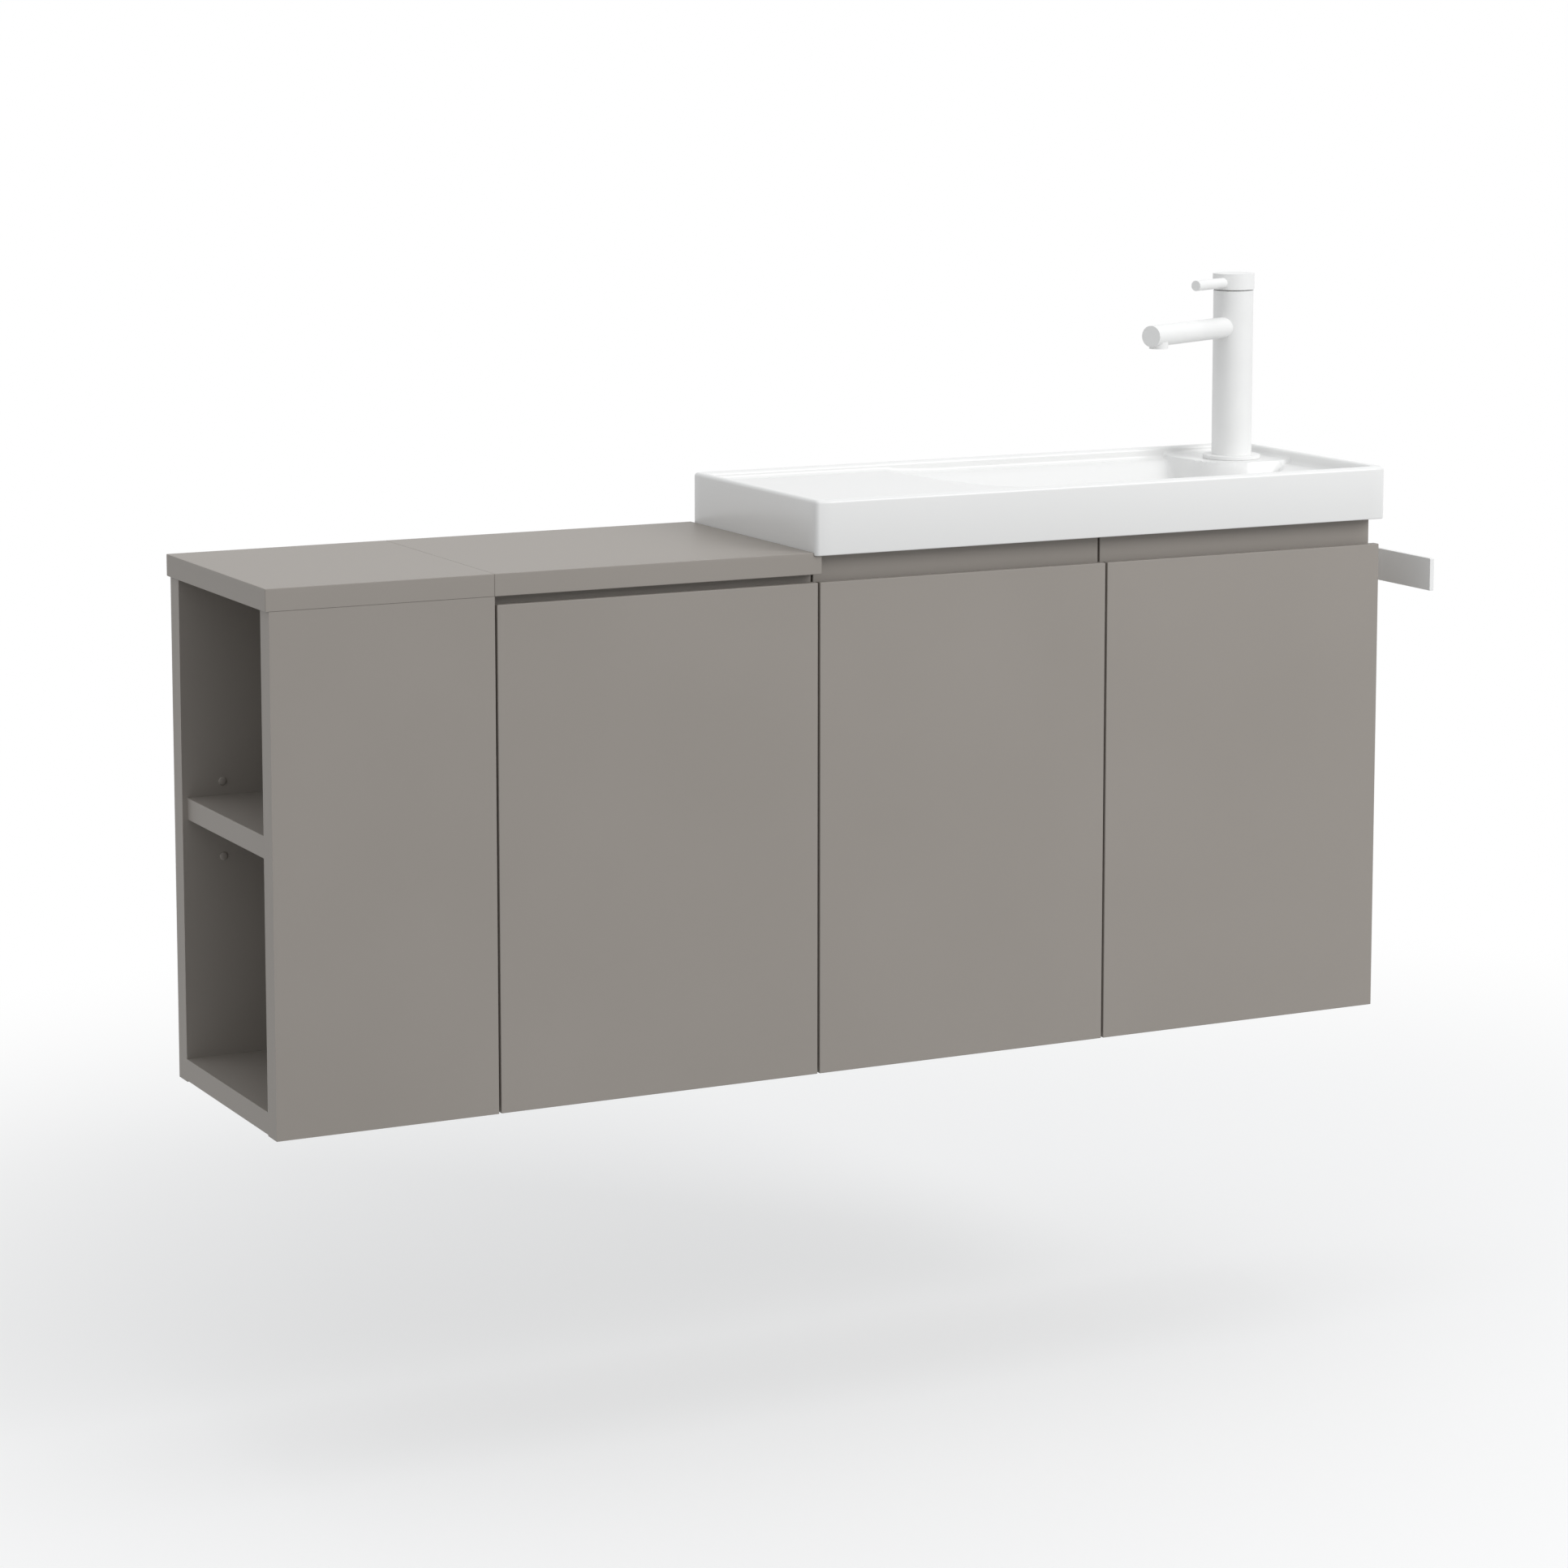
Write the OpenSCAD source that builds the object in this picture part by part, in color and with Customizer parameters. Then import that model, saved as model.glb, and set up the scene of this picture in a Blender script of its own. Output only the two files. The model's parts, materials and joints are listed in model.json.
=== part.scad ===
// Wall-hung bathroom vanity: open niche unit, one-door base, two-door basin base,
// worktop slabs, ceramic basin, single-hole mixer tap and a side towel rail.
// X runs to the right, +Y runs to the wall and Z runs up. The origin lies on the wall,
// at the centre of the four wall-plate holes that carry the basin base.

/* [Doors] */
// Height of every door
door_h = 591; // [480:1:700]
// Thickness of every door
door_t = 19; // [18:0.5:22]
// Width of the left door
door_1_w = 409; // [300:1:500]
// Width of the middle door
door_2_w = 390; // [330:1:450]
// Width of the right door
door_3_w = 396; // [330:1:450]
// Gap between neighbouring doors
door_gap = 3; // [3:0.5:5]
// Width of the finger groove in a door's top edge
groove_w = 8; // [6:0.5:9]
// Depth of the finger groove in a door's top edge
groove_d = 11; // [8:0.5:16]
// Thickness of the handle strip behind a door
strip_t = 16; // [12:1:20]
// How far a handle strip laps down behind its door
strip_lap = 34; // [26:1:50]
// How far the right handle strip stops short of its door's end
strip_end = 3; // [1:0.5:5]

/* [Carcass] */
// Thickness of the base cabinets' boards
board_t = 18; // [16:1:19]
// Gap between a door's back and the carcass
back_gap = 3; // [3:0.5:4]
// Depth of the units from the door fronts
unit_depth = 331; // [300:1:380]
// Gap between the units' backs and the wall
wall_gap = 2; // [2:0.5:3]
// Height seen between the left door and its worktop
top_reveal = 10; // [6:1:16]
// Height seen between the two right doors and the basin
sink_reveal = 32; // [28:1:44]
// Height of the rails under the worktop and the basin
rail_h = 70; // [50:1:90]
// Length of a board dowel
dowel_l = 30; // [24:1:34]
// Diameter of a board dowel
dowel_d = 8; // [6:1:8]

/* [Niche unit] */
// Width of the open niche unit
niche_w = 271; // [220:1:340]
// Thickness of its front and rear panels
niche_wall_t = 28; // [22:1:30]
// Thickness of its floor
niche_floor_t = 26; // [20:1:28]
// Thickness of its shelf
niche_shelf_t = 26; // [20:1:28]
// Height of the underside of its shelf
niche_shelf_z = 315; // [260:1:360]
// How far its shelf stands back from the open side
niche_shelf_back = 6; // [3:1:12]
// Vertical pitch of its shelf-pin holes
pin_pitch = 45; // [40:1:60]
// Diameter of a shelf pin
pin_d = 5; // [4:0.5:6]

/* [Worktop] */
// Thickness of the worktop slabs
top_t = 26; // [20:1:30]
// Overhang of the left slab over the open side
top_over = 4; // [2:1:10]

/* [Basin] */
// Length of the basin
basin_l = 802.5; // [790:0.5:810]
// How far the basin stands proud of the doors
basin_front = 5; // [3:1:9]
// Gap between the basin and the wall
basin_back_gap = 5; // [3:1:8]
// Height of the basin's outer face
basin_h = 66; // [58:1:80]
// Width of the basin's rim
rim_w = 13; // [10:1:16]
// Depth of the tray below the rim
tray_d = 10; // [8:1:14]
// Thickness of the ceramic
ceramic_t = 10; // [8:1:12]
// How far the basin's right end overhangs the right door
basin_right = 5.2; // [3:0.2:8]
// Length of the flat tray at the left
tray_l = 269; // [240:1:290]
// Depth of the bowl below the tray
bowl_d = 75; // [60:1:85]
// Radius of the bowl's front edge
bowl_r = 268; // [250:1:275]
// Radius of the raised pad around the tap
pad_r = 58; // [52:1:64]
// How far the pad is drawn out to the right
pad_run = 26; // [10:1:40]

/* [Tap] */
// Diameter of the tap's body
tap_d = 51.5; // [44:0.5:54]
// Height from the basin to the joint under the cap
tap_h = 217.5; // [180:0.5:260]
// Diameter of the round base ring
tap_ring_d = 74; // [64:1:78]
// Height of the cap
cap_h = 20.5; // [16:0.5:28]
// Diameter of the spout tube
spout_d = 26.8; // [20:0.2:28]
// Reach of the spout from the tap's axis
spout_l = 199; // [140:1:220]
// Height of the spout above the basin
spout_z = 170.3; // [130:0.1:180]
// Heading of the spout, anticlockwise from the right
spout_dir = 206.5; // [180:0.5:225]
// Heading of the lever, anticlockwise from the right
lever_dir = 206.5; // [180:0.5:225]
// Diameter of the lever rod
lever_d = 13.2; // [8:0.2:14]
// Reach of the lever from the tap's axis
lever_l = 93; // [60:1:110]
// Distance of the tap's axis from the basin's right end
tap_from_right = 70; // [66:1:80]
// Distance of the tap's axis from the wall
tap_from_wall = 90; // [82:1:100]
// Diameter of the tap's mounting hole
tap_hole_d = 35; // [33:0.5:37]

/* [Waste and trap] */
// Diameter of the waste hole in the bowl
waste_hole_d = 46; // [44:0.5:48]
// Diameter of the waste tail and the outlet pipe
waste_pipe_d = 32; // [30:0.5:34]
// Diameter of the bottle trap's cup
trap_d = 60; // [54:1:70]
// Travel of the push-down plug
plug_travel = 6; // [4:0.5:7]

/* [Towel rail] */
// Height of the flat bar
bar_h = 41; // [30:1:50]
// Thickness of the flat bar
bar_t = 6; // [4:0.5:8]
// How far the bar's outer face stands from the cabinet
bar_out = 86; // [60:1:110]
// Height of the bar's underside above the doors' bottom
bar_z = 526; // [420:1:545]
// Length of the bar's long arm
bar_l = 329; // [200:1:331]

/* [Hidden] */
$fn = 48;
// Clearance of a turning pin in its bore, all round
run = 0.05;
// Clearance of a piece that is pushed in and stays, all round
slip = 0.1;
// Gap kept between a moving piece and a fixed one
clear = 1.5;

// Doors, from the left: ends along X
d1 = [0, door_1_w];
d2 = [d1[1] + door_gap, d1[1] + door_gap + door_2_w];
d3 = [d2[1] + door_gap, d2[1] + door_gap + door_3_w];
base_h = door_h + top_reveal;
sink_h = door_h + sink_reveal;
front_y = door_t + back_gap;
wall_y = unit_depth + wall_gap;
base_x = [-door_gap, d1[1] + door_gap / 2];
sink_x = [base_x[1], d3[1]];
niche_x = [-door_gap - niche_w, -door_gap];
strip_y = door_t + strip_t;
strip_z = door_h - strip_lap;
rail_y = strip_y + back_gap;

// Basin
basin_x = [sink_x[1] + basin_right - basin_l, sink_x[1] + basin_right];
basin_y = [-basin_front, wall_y - basin_back_gap];
basin_z = [sink_h, sink_h + basin_h];
tray_z = basin_z[1] - tray_d;
bowl_z = tray_z - bowl_d;
bowl_gap = 2;
bowl_x = basin_x[0] + tray_l + bowl_gap + bowl_r;
bowl_y = basin_y[1] - rim_w - 5;
bowl_floor_r = 0.64 * bowl_r;
bowl_back_run = 97;
waste_x = bowl_x - 18;
waste_y = bowl_y - bowl_back_run - 38;
skirt_t = 12;
tray_fall_d = 5;
deck_t = ceramic_t + tray_fall_d;

// Tap
tap_x = basin_x[1] - tap_from_right;
tap_y = wall_y - tap_from_wall;
ring_h = 5;
bore_r = tap_d / 2 - 5;
bore_depth = 38;
joint_gap = 1.2;
cap_over = 1;
stem_r = 6;
shank_r = 15;
shank_l = 46;
lever_z = tap_h + joint_gap + cap_h * 0.444;
inlet_r = 5;
inlet_l = 60;
inlet_pitch = 17;
inlet_in = 14;
inlet_end_l = 22;
inlet_step = 0.5;

// Wall plates and hooks
plate_w = 44;
plate_hgt = 56;
plate_t = wall_gap;
plate_in = 3;
plate_below = 58;
plate_z = base_h - plate_below;
plate_hole_pitch = 32;
plate_hole_r = 3;
lip_y = 9;
lip_h = 8;
hook_w = 14;
hook_t = 5;
hook_back = 2;
rear_rail_gap = 4;
rear_rail = [plate_z - plate_hgt / 2 - rail_h, plate_z - plate_hgt / 2 - rear_rail_gap];
sink_in = [sink_x[0] + board_t, sink_x[1] - board_t];
base_in = [base_x[0] + board_t, base_x[1] - board_t];
origin = [(sink_in[0] + sink_in[1]) / 2, wall_y, plate_z];

// Waste fitting and trap, heights from the bowl's floor or the trap's outlet
flange_r = 32;
flange_h = 2.5;
barrel_r = waste_hole_d / 2 - 0.5;
barrel_l = 40;
pipe_bore = waste_pipe_d / 2 - 2;
guide_h = 12;
guide_z = -guide_h;
guide_arm_t = 3;
guide_hub_t = 2.5;
waste_nut_h = 10;
plug_stem_r = 4;
plug_cap_h = 5;
trap_below = 14;
trap_z = rear_rail[0] - waste_pipe_d / 2 - trap_below;
trap_half = 22;
trap_bore = trap_d / 2 - 3.5;
trap_neck = 16;
tail_in = 12;
tail_l = bowl_z - trap_z - trap_half + tail_in - 1;
dip_l = 55;
outlet_boss = 18;
cup_l = 66;

// Hinges: the pin's place from a door's hinge edge and front, and their heights
pin_u = 9;
pin_v = 5;
hinge_pin_r = 1.5;
knuckle_r = 2.7;
arm_h = 12;
elbow_u = 31;
arm_t = 3;
mortise = [4.5, 35];
mortise_half = 11;
skin = 2;
hinge_low = 85;
hinge_high = 105;
hinge_z = [hinge_low, door_h - hinge_high];
screw_r = 2;
screw_head_r = 4;
screw_l = 15;

lacquer = [0.57, 0.54, 0.51];
white = [0.94, 0.94, 0.93];
steel = [0.72, 0.73, 0.74];

// Moves the front-left-bottom frame of the sizes above to the origin on the wall
module placed() {
  translate([-origin[0], -origin[1], -origin[2]]) children();
}

// A board between two corners
module slab(x, y, z) {
  translate([x[0], y[0], z[0]]) cube([x[1] - x[0], y[1] - y[0], z[1] - z[0]]);
}

module rod_x(p, r, l) {
  translate(p) rotate([0, 90, 0]) cylinder(r = r, h = l, center = true);
}

module rod_y(p, r, l) {
  translate(p) rotate([90, 0, 0]) cylinder(r = r, h = l, center = true);
}

// Dowels between a base cabinet's sides and its floor and rails
module cabinet_dowels(inner, h, floor_ys, grow, longer) {
  for (x = inner) {
    for (y = floor_ys) rod_x([x, y, board_t / 2], dowel_d / 2 + grow, dowel_l + longer);
    for (z = [h - rail_h + dowel_d * 1.5, base_h - dowel_d])
      rod_x([x, rail_y + board_t / 2, z], dowel_d / 2 + grow, dowel_l + longer);
    for (z = rear_rail_z(0.3)) rod_x([x, unit_depth - board_t / 2, z], dowel_d / 2 + grow, dowel_l + longer);
  }
}

function rear_rail_z(k) = [rear_rail[0] + rail_h * k, rear_rail[1] - rail_h * k];
dowel_in = 60;
floor_ys = [front_y + dowel_in, unit_depth - dowel_in];

// Dowels between the niche unit's panels, floor and side
module niche_dowels(grow, longer) {
  for (y = [niche_wall_t, unit_depth - niche_wall_t]) {
    for (x = [niche_x[0] + niche_dowel_in, niche_x[1] - board_t - pin_in])
      rod_y([x, y, niche_floor_z + niche_floor_t / 2], dowel_d / 2 + grow, dowel_l + longer);
    for (z = [niche_dowel_low, base_h / 2, base_h - niche_dowel_high])
      rod_y([niche_x[1] - board_t / 2, y, z], dowel_d / 2 + grow, dowel_l + longer);
  }
}
niche_floor_z = 1.5;
niche_dowel_in = 40;
niche_dowel_low = 90;
niche_dowel_high = 80;
pin_in = 50;

// Bolts that join two neighbouring units through their sides
bolt_r = 3;
bolt_head_t = 2;
bolt_in_front = 78;
bolt_in_rear = 60;
bolt_low = 140;
bolt_high = 161;
bolt_ys = [front_y + bolt_in_front, unit_depth - bolt_in_rear];
bolt_zs = [bolt_low, base_h - bolt_high];
module joining(grow) {
  for (x = [niche_x[1], base_x[1]])
    for (y = bolt_ys)
      for (z = bolt_zs) rod_x([x, y, z], bolt_r + grow, 2 * board_t + 2 * grow);
}

// Shelf pins: a row of holes in two facing boards
pin_l = 16;
module shelf_pin_row(x, ys, z, grow) {
  for (y = ys) rod_x([x, y, z], pin_d / 2 + grow, pin_l);
}

// Niche shelf pins stand in the front and rear panels
niche_pin_x = [niche_x[0] + pin_in, niche_x[1] - board_t - pin_in];
niche_pin_l = 19;
niche_hole_l = niche_pin_l + 1;
module niche_pins(z, grow, len) {
  for (x = niche_pin_x)
    for (y = [niche_wall_t, unit_depth - niche_wall_t]) rod_y([x, y, z], pin_d / 2 + grow, len);
}
niche_mid_z = niche_shelf_z - pin_d / 2;
module niche_holes() {
  niche_pins(niche_mid_z, slip, niche_hole_l);
  niche_pins(niche_mid_z - pin_pitch, slip, niche_hole_l);
  niche_pins(niche_mid_z + pin_pitch, slip, niche_hole_l);
}

module niche_front_panel() {
  color(lacquer) placed() difference() {
    slab(niche_x, [0, niche_wall_t], [0, base_h]);
    niche_dowels(slip, 1);
    niche_holes();
  }
}

module niche_rear_panel() {
  color(lacquer) placed() difference() {
    slab(niche_x, [unit_depth - niche_wall_t, unit_depth], [0, base_h]);
    niche_dowels(slip, 1);
    niche_holes();
    for (x = keyhole_x) {
      rod_y([x, unit_depth, plate_z], keyhole_r, keyhole_deep);
      for (z = keyhole_screw_z) screw_y([x, 0, z], slip);
    }
  }
}

module niche_side_panel() {
  color(lacquer) placed() difference() {
    slab([niche_x[1] - board_t, niche_x[1]], [niche_wall_t, unit_depth - niche_wall_t], [0, base_h]);
    niche_dowels(slip, 1);
    joining(slip);
  }
}

module niche_floor() {
  color(lacquer) placed() difference() {
    slab([niche_x[0], niche_x[1] - board_t], [niche_wall_t, unit_depth - niche_wall_t],
      [niche_floor_z, niche_floor_z + niche_floor_t]);
    niche_dowels(slip, 1);
  }
}

module niche_shelf() {
  color(lacquer) placed()
    slab([niche_x[0] + niche_shelf_back, niche_x[1] - board_t - slip],
      [niche_wall_t + slip, unit_depth - niche_wall_t - slip],
      [niche_shelf_z, niche_shelf_z + niche_shelf_t]);
}

// Caps over the spare shelf-pin holes above and below the shelf
hole_cap_t = 0.8;
hole_cap_in = 7;
module niche_hole_caps() {
  color(lacquer) placed()
    for (side = [0, 1])
      for (x = niche_pin_x)
        for (z = [niche_mid_z - pin_pitch, niche_mid_z + pin_pitch])
          translate([x, side == 0 ? niche_wall_t : unit_depth - niche_wall_t, z])
            rotate([side == 0 ? -90 : 90, 0, 0]) union() {
              cylinder(r = pin_d, h = hole_cap_t);
              translate([0, 0, -hole_cap_in]) cylinder(r = pin_d / 2, h = hole_cap_in + hole_cap_t / 2);
            }
}

// The right slab's end is rebated to pass under the basin
module worktop_left() {
  color(lacquer) placed() slab([niche_x[0] - top_over, niche_x[1]], [0, wall_y], [base_h, base_h + top_t]);
}

worktop_in = 2;
worktop_end = d2[0] + worktop_in;
module worktop_right() {
  color(lacquer) placed() difference() {
    slab([niche_x[1], worktop_end], [0, wall_y], [base_h, base_h + top_t]);
    slab([basin_x[0] - slip, worktop_end + 1], [basin_y[0] - 1, wall_y + 1], [sink_h, sink_h + top_t]);
  }
}

// A side of a base cabinet, set back at the top front for the handle strips
module cabinet_side(x, h) {
  difference() {
    slab(x, [front_y, unit_depth], [0, h]);
    slab([x[0] - 1, x[1] + 1], [front_y - 1, rail_y], [strip_z - back_gap, h + 1]);
    joining(slip);
    screw_holes();
  }
}

module base_side_left() {
  color(lacquer) placed() difference() {
    cabinet_side([base_x[0], base_in[0]], base_h);
    cabinet_dowels(base_in, base_h, floor_ys, slip, 1);
    shelf_pin_row(base_in[0], base_pin_y, base_pin_z, slip);
  }
}

module base_side_right() {
  color(lacquer) placed() difference() {
    cabinet_side([base_in[1], base_x[1]], base_h);
    cabinet_dowels(base_in, base_h, floor_ys, slip, 1);
    shelf_pin_row(base_in[1], base_pin_y, base_pin_z, slip);
  }
}

module cabinet_floor(inner, h) {
  difference() {
    slab(inner, [front_y, unit_depth], [0, board_t]);
    cabinet_dowels(inner, h, floor_ys, slip, 1);
    bumper_spots(slip);
  }
}

module cabinet_front_rail(inner, h) {
  difference() {
    slab(inner, [rail_y, rail_y + board_t], [h - rail_h, h]);
    cabinet_dowels(inner, h, floor_ys, slip, 1);
  }
}

module cabinet_rear_rail(inner, h) {
  difference() {
    slab(inner, [unit_depth - board_t, unit_depth], rear_rail);
    cabinet_dowels(inner, h, floor_ys, slip, 1);
  }
}

module base_floor() { color(lacquer) placed() cabinet_floor(base_in, base_h); }
module base_front_rail() { color(lacquer) placed() cabinet_front_rail(base_in, base_h); }
module base_rear_rail() { color(lacquer) placed() cabinet_rear_rail(base_in, base_h); }

base_shelf_z = 290;
base_shelf_front = 40;
base_pin_in = 40;
base_pin_rear = 60;
base_pin_y = [front_y + base_shelf_front + base_pin_in, unit_depth - base_pin_rear];
base_pin_z = base_shelf_z - pin_d / 2;
module base_shelf() {
  color(lacquer) placed()
    slab([base_in[0] + 1, base_in[1] - 1], [front_y + base_shelf_front, unit_depth - board_t - 1],
      [base_shelf_z, base_shelf_z + board_t]);
}

// Pins that carry the niche's shelf and the base cabinet's shelf
module shelf_pins() {
  color(steel) placed() {
    niche_pins(niche_mid_z, 0, niche_pin_l);
    for (x = base_in) shelf_pin_row(x, base_pin_y, base_pin_z, 0);
  }
}

// The left side of the basin base is cut away where the worktop's end passes
module sink_side_left() {
  color(lacquer) placed() difference() {
    cabinet_side([sink_x[0], sink_in[0]], sink_h);
    cabinet_dowels(sink_in, sink_h, floor_ys, slip, 1);
    slab([sink_x[0] - 1, worktop_end + slip], [0, wall_y], [base_h, sink_h + 1]);
  }
}

module sink_side_right() {
  color(lacquer) placed() difference() {
    cabinet_side([sink_in[1], sink_x[1]], sink_h);
    cabinet_dowels(sink_in, sink_h, floor_ys, slip, 1);
  }
}

module sink_floor() { color(lacquer) placed() cabinet_floor(sink_in, sink_h); }
module sink_front_rail() { color(lacquer) placed() cabinet_front_rail(sink_in, sink_h); }
module sink_rear_rail() { color(lacquer) placed() cabinet_rear_rail(sink_in, sink_h); }

module board_dowels() {
  color("burlywood") placed() {
    niche_dowels(0, 0);
    cabinet_dowels(base_in, base_h, floor_ys, 0, 0);
    cabinet_dowels(sink_in, sink_h, floor_ys, 0, 0);
  }
}

// A joining bolt with a low head on each board face
module joining_bolts() {
  color(steel) placed()
    for (x = [niche_x[1], base_x[1]])
      for (y = bolt_ys)
        for (z = bolt_zs) {
          rod_x([x, y, z], bolt_r, 2 * board_t + bolt_head_t);
          for (s = [-1, 1]) rod_x([x + s * (board_t + bolt_head_t / 2), y, z], bolt_r * 2, bolt_head_t);
        }
}

// A countersunk screw: its head's top is at the origin and it runs down
csk_h = 2;
module screw(grow) {
  translate([0, 0, -csk_h]) cylinder(r1 = screw_r + grow, r2 = screw_head_r + grow, h = csk_h + grow);
  translate([0, 0, -screw_l - grow]) cylinder(r = screw_r + grow, h = screw_l + grow);
}

// Screws into the cabinets' sides: head face, depth, height, heading along X
hinge_screw_y = 60;
hinge_screw_half = 14;
hook_screw_in = 59;
hook_screw_y = unit_depth - hook_screw_in;
hook_screw_pitch = 24;
foot_l = 60;
foot_screw_in = 18;
foot_screw_half = 11;
hinge_sides = [[base_in[1], 1], [sink_in[0], -1], [sink_in[1], 1]];
hook_sides = [[base_in[0], -1], [base_in[1], 1], [sink_in[0], -1], [sink_in[1], 1]];
side_screws = concat(
  [for (s = hinge_sides) for (z = hinge_z) for (k = [-1, 1])
    [s[0] - s[1] * arm_t, hinge_screw_y, z + k * hinge_screw_half, s[1]]],
  [for (s = hook_sides) for (k = [0, hook_screw_pitch])
    [s[0] - s[1] * arm_t, hook_screw_y, plate_z + k, s[1]]],
  [for (k = [-1, 1])
    [sink_x[1] + bar_t, unit_depth - foot_l + foot_screw_in, bar_z + bar_h / 2 + k * foot_screw_half, -1]]
);

module screw_holes(grow = slip) {
  for (s = side_screws) translate([s[0], s[1], s[2]]) rotate([0, -90 * s[3], 0]) screw(grow);
}

module screw_y(p, grow) {
  translate([p[0], wall_y, p[2]]) rotate([-90, 0, 0]) screw(grow);
}

keyhole_left = 60;
keyhole_right = 80;
keyhole_x = [niche_x[0] + keyhole_left, niche_x[1] - keyhole_right];
keyhole_r = 9;
keyhole_deep = 16;
keyhole_screw_half = 21;
keyplate_w = 34;
keyplate_h = 62;
keyplate_z = plate_z + 1;
keyhole_screw_z = [keyplate_z - keyhole_screw_half, keyplate_z + keyhole_screw_half];

module fixing_screws() {
  color(steel) placed() {
    screw_holes(0);
    for (x = keyhole_x) for (z = keyhole_screw_z) screw_y([x, 0, z], 0);
  }
}

// Keyhole plates on the back of the niche unit
key_head_r = 5;
key_neck_r = 2.6;
key_rise = 10;
module niche_keyhole_plates() {
  color(steel) placed() difference() {
    for (x = keyhole_x)
      slab([x - keyplate_w / 2, x + keyplate_w / 2], [unit_depth, wall_y],
        [keyplate_z - keyplate_h / 2, keyplate_z + keyplate_h / 2]);
    for (x = keyhole_x) {
      rod_y([x, wall_y, keyplate_z - key_rise / 2], key_head_r, 4 * wall_gap);
      rod_y([x, wall_y, keyplate_z + key_rise / 2], key_neck_r, 4 * wall_gap);
      slab([x - key_neck_r, x + key_neck_r], [unit_depth - 1, wall_y + 1],
        [keyplate_z - key_rise / 2, keyplate_z + key_rise / 2]);
      for (z = keyhole_screw_z) screw_y([x, 0, z], slip);
    }
  }
}

// Runs its children once at each inner side face, with X pointing into the cabinet
module at_sides(sides) {
  for (s = sides) translate([s[0], 0, 0]) if (s[1] > 0) mirror([1, 0, 0]) children(); else children();
}

// Steel plates screwed to the wall, each with a forward lip and an upturned tip
plate_top = plate_z + plate_hgt / 2;
tip_top = plate_top + lip_h;
module wall_plates() {
  color(steel) placed() at_sides(hook_sides) difference() {
    union() {
      slab([plate_in, plate_in + plate_w], [unit_depth, wall_y], [plate_z - plate_hgt / 2, plate_top]);
      slab([plate_in, plate_in + plate_w], [unit_depth - lip_y, wall_y], [plate_top - plate_t, plate_top]);
      slab([plate_in, plate_in + plate_w], [unit_depth - lip_y, unit_depth - lip_y + plate_t],
        [plate_top - plate_t, tip_top]);
    }
    for (k = [-1, 1])
      rod_y([plate_in + plate_w / 2, wall_y, plate_z + k * plate_hole_pitch / 2], plate_hole_r, 4 * plate_t);
  }
}

// Hooks on the cabinets' sides that hang on the wall plates' tips
hook_reach = 31;
hook_screw_rim = 11;
module hanger_hooks() {
  color(steel) placed() difference() {
    at_sides(hook_sides) union() {
      slab([0, arm_t], [hook_screw_y - hook_screw_rim, unit_depth - hook_reach + arm_t * 2],
        [plate_z - hook_screw_rim, tip_top + hook_t]);
      slab([0, hook_w], [unit_depth - hook_reach, unit_depth - hook_back], [tip_top, tip_top + hook_t]);
      slab([0, hook_w], [unit_depth - lip_y + plate_t + clear, unit_depth - hook_back],
        [tip_top - hook_t, tip_top + hook_t]);
    }
    screw_holes();
  }
}

// Places of the three doors' hinges: hinge edge, side (1 is right), inner face of the board
hinges = [
  [d1[1], 1, d1[1] - base_in[1]],
  [d2[0], -1, sink_in[0] - d2[0]],
  [d3[1], 1, d3[1] - sink_in[1]]
];

// Runs its children at both hinges of a door, with X from the hinge edge inwards
module at_hinges(h) {
  for (z = hinge_z) translate([h[0], 0, z]) if (h[1] > 0) mirror([1, 0, 0]) children(); else children();
}

// A swan-neck arm: foot on the side board, bend round the board's edge, knuckle on the pin
foot_v = [31, 76];
foot_half = 20;
module hinge_arm(inner_u) {
  difference() {
    union() {
      translate([pin_u, pin_v, -arm_h / 2]) cylinder(r = knuckle_r, h = arm_h);
      slab([pin_u, elbow_u], [pin_v - arm_t / 2, pin_v + arm_t / 2], [-arm_h / 2, arm_h / 2]);
      slab([elbow_u - arm_t, elbow_u], [pin_v - arm_t / 2, foot_v[0] + arm_t], [-arm_h / 2, arm_h / 2]);
      slab([inner_u, elbow_u], [foot_v[0], foot_v[0] + arm_t], [-arm_h / 2, arm_h / 2]);
      slab([inner_u, inner_u + arm_t], foot_v, [-foot_half, foot_half]);
    }
    translate([pin_u, pin_v, -arm_h]) cylinder(r = hinge_pin_r + run, h = 2 * arm_h);
  }
}

module hinge_arms() {
  color(steel) placed() difference() {
    for (h = hinges) at_hinges(h) hinge_arm(h[2]);
    screw_holes();
  }
}

// Soft stops on the floors' front edges that meet the closed doors
bumper_in = 18;
bumper_x = [base_in[0] + bumper_in, d2[1] - bumper_in, d3[0] + bumper_in];
bumper_r = 4;
bumper_y = [door_t + 0.3, front_y + 2];
module bumper_spots(grow) {
  for (x = bumper_x)
    rod_y([x, (bumper_y[0] + bumper_y[1]) / 2, board_t / 2], bumper_r + grow,
      bumper_y[1] - bumper_y[0] + 2 * grow);
}

module door_bumpers() {
  color("white") placed() bumper_spots(0);
}

// A door with its finger groove and the pockets for its hinge cups
module door_panel(d, h) {
  color(lacquer) placed() difference() {
    slab(d, [0, door_t], [0, door_h]);
    slab([d[0] - 1, d[1] + 1], [door_t - groove_w, door_t + 1], [door_h - groove_d, door_h + 1]);
    at_hinges(h)
      slab([mortise[0] - slip, mortise[1] + slip], [skin - slip, door_t + 1],
        [-mortise_half - slip, mortise_half + slip]);
  }
}

// The strip behind a door's top that closes the gap above it
module handle_strip(x, top) {
  slab(x, [door_t, strip_y], [strip_z, top - clear]);
}

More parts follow.
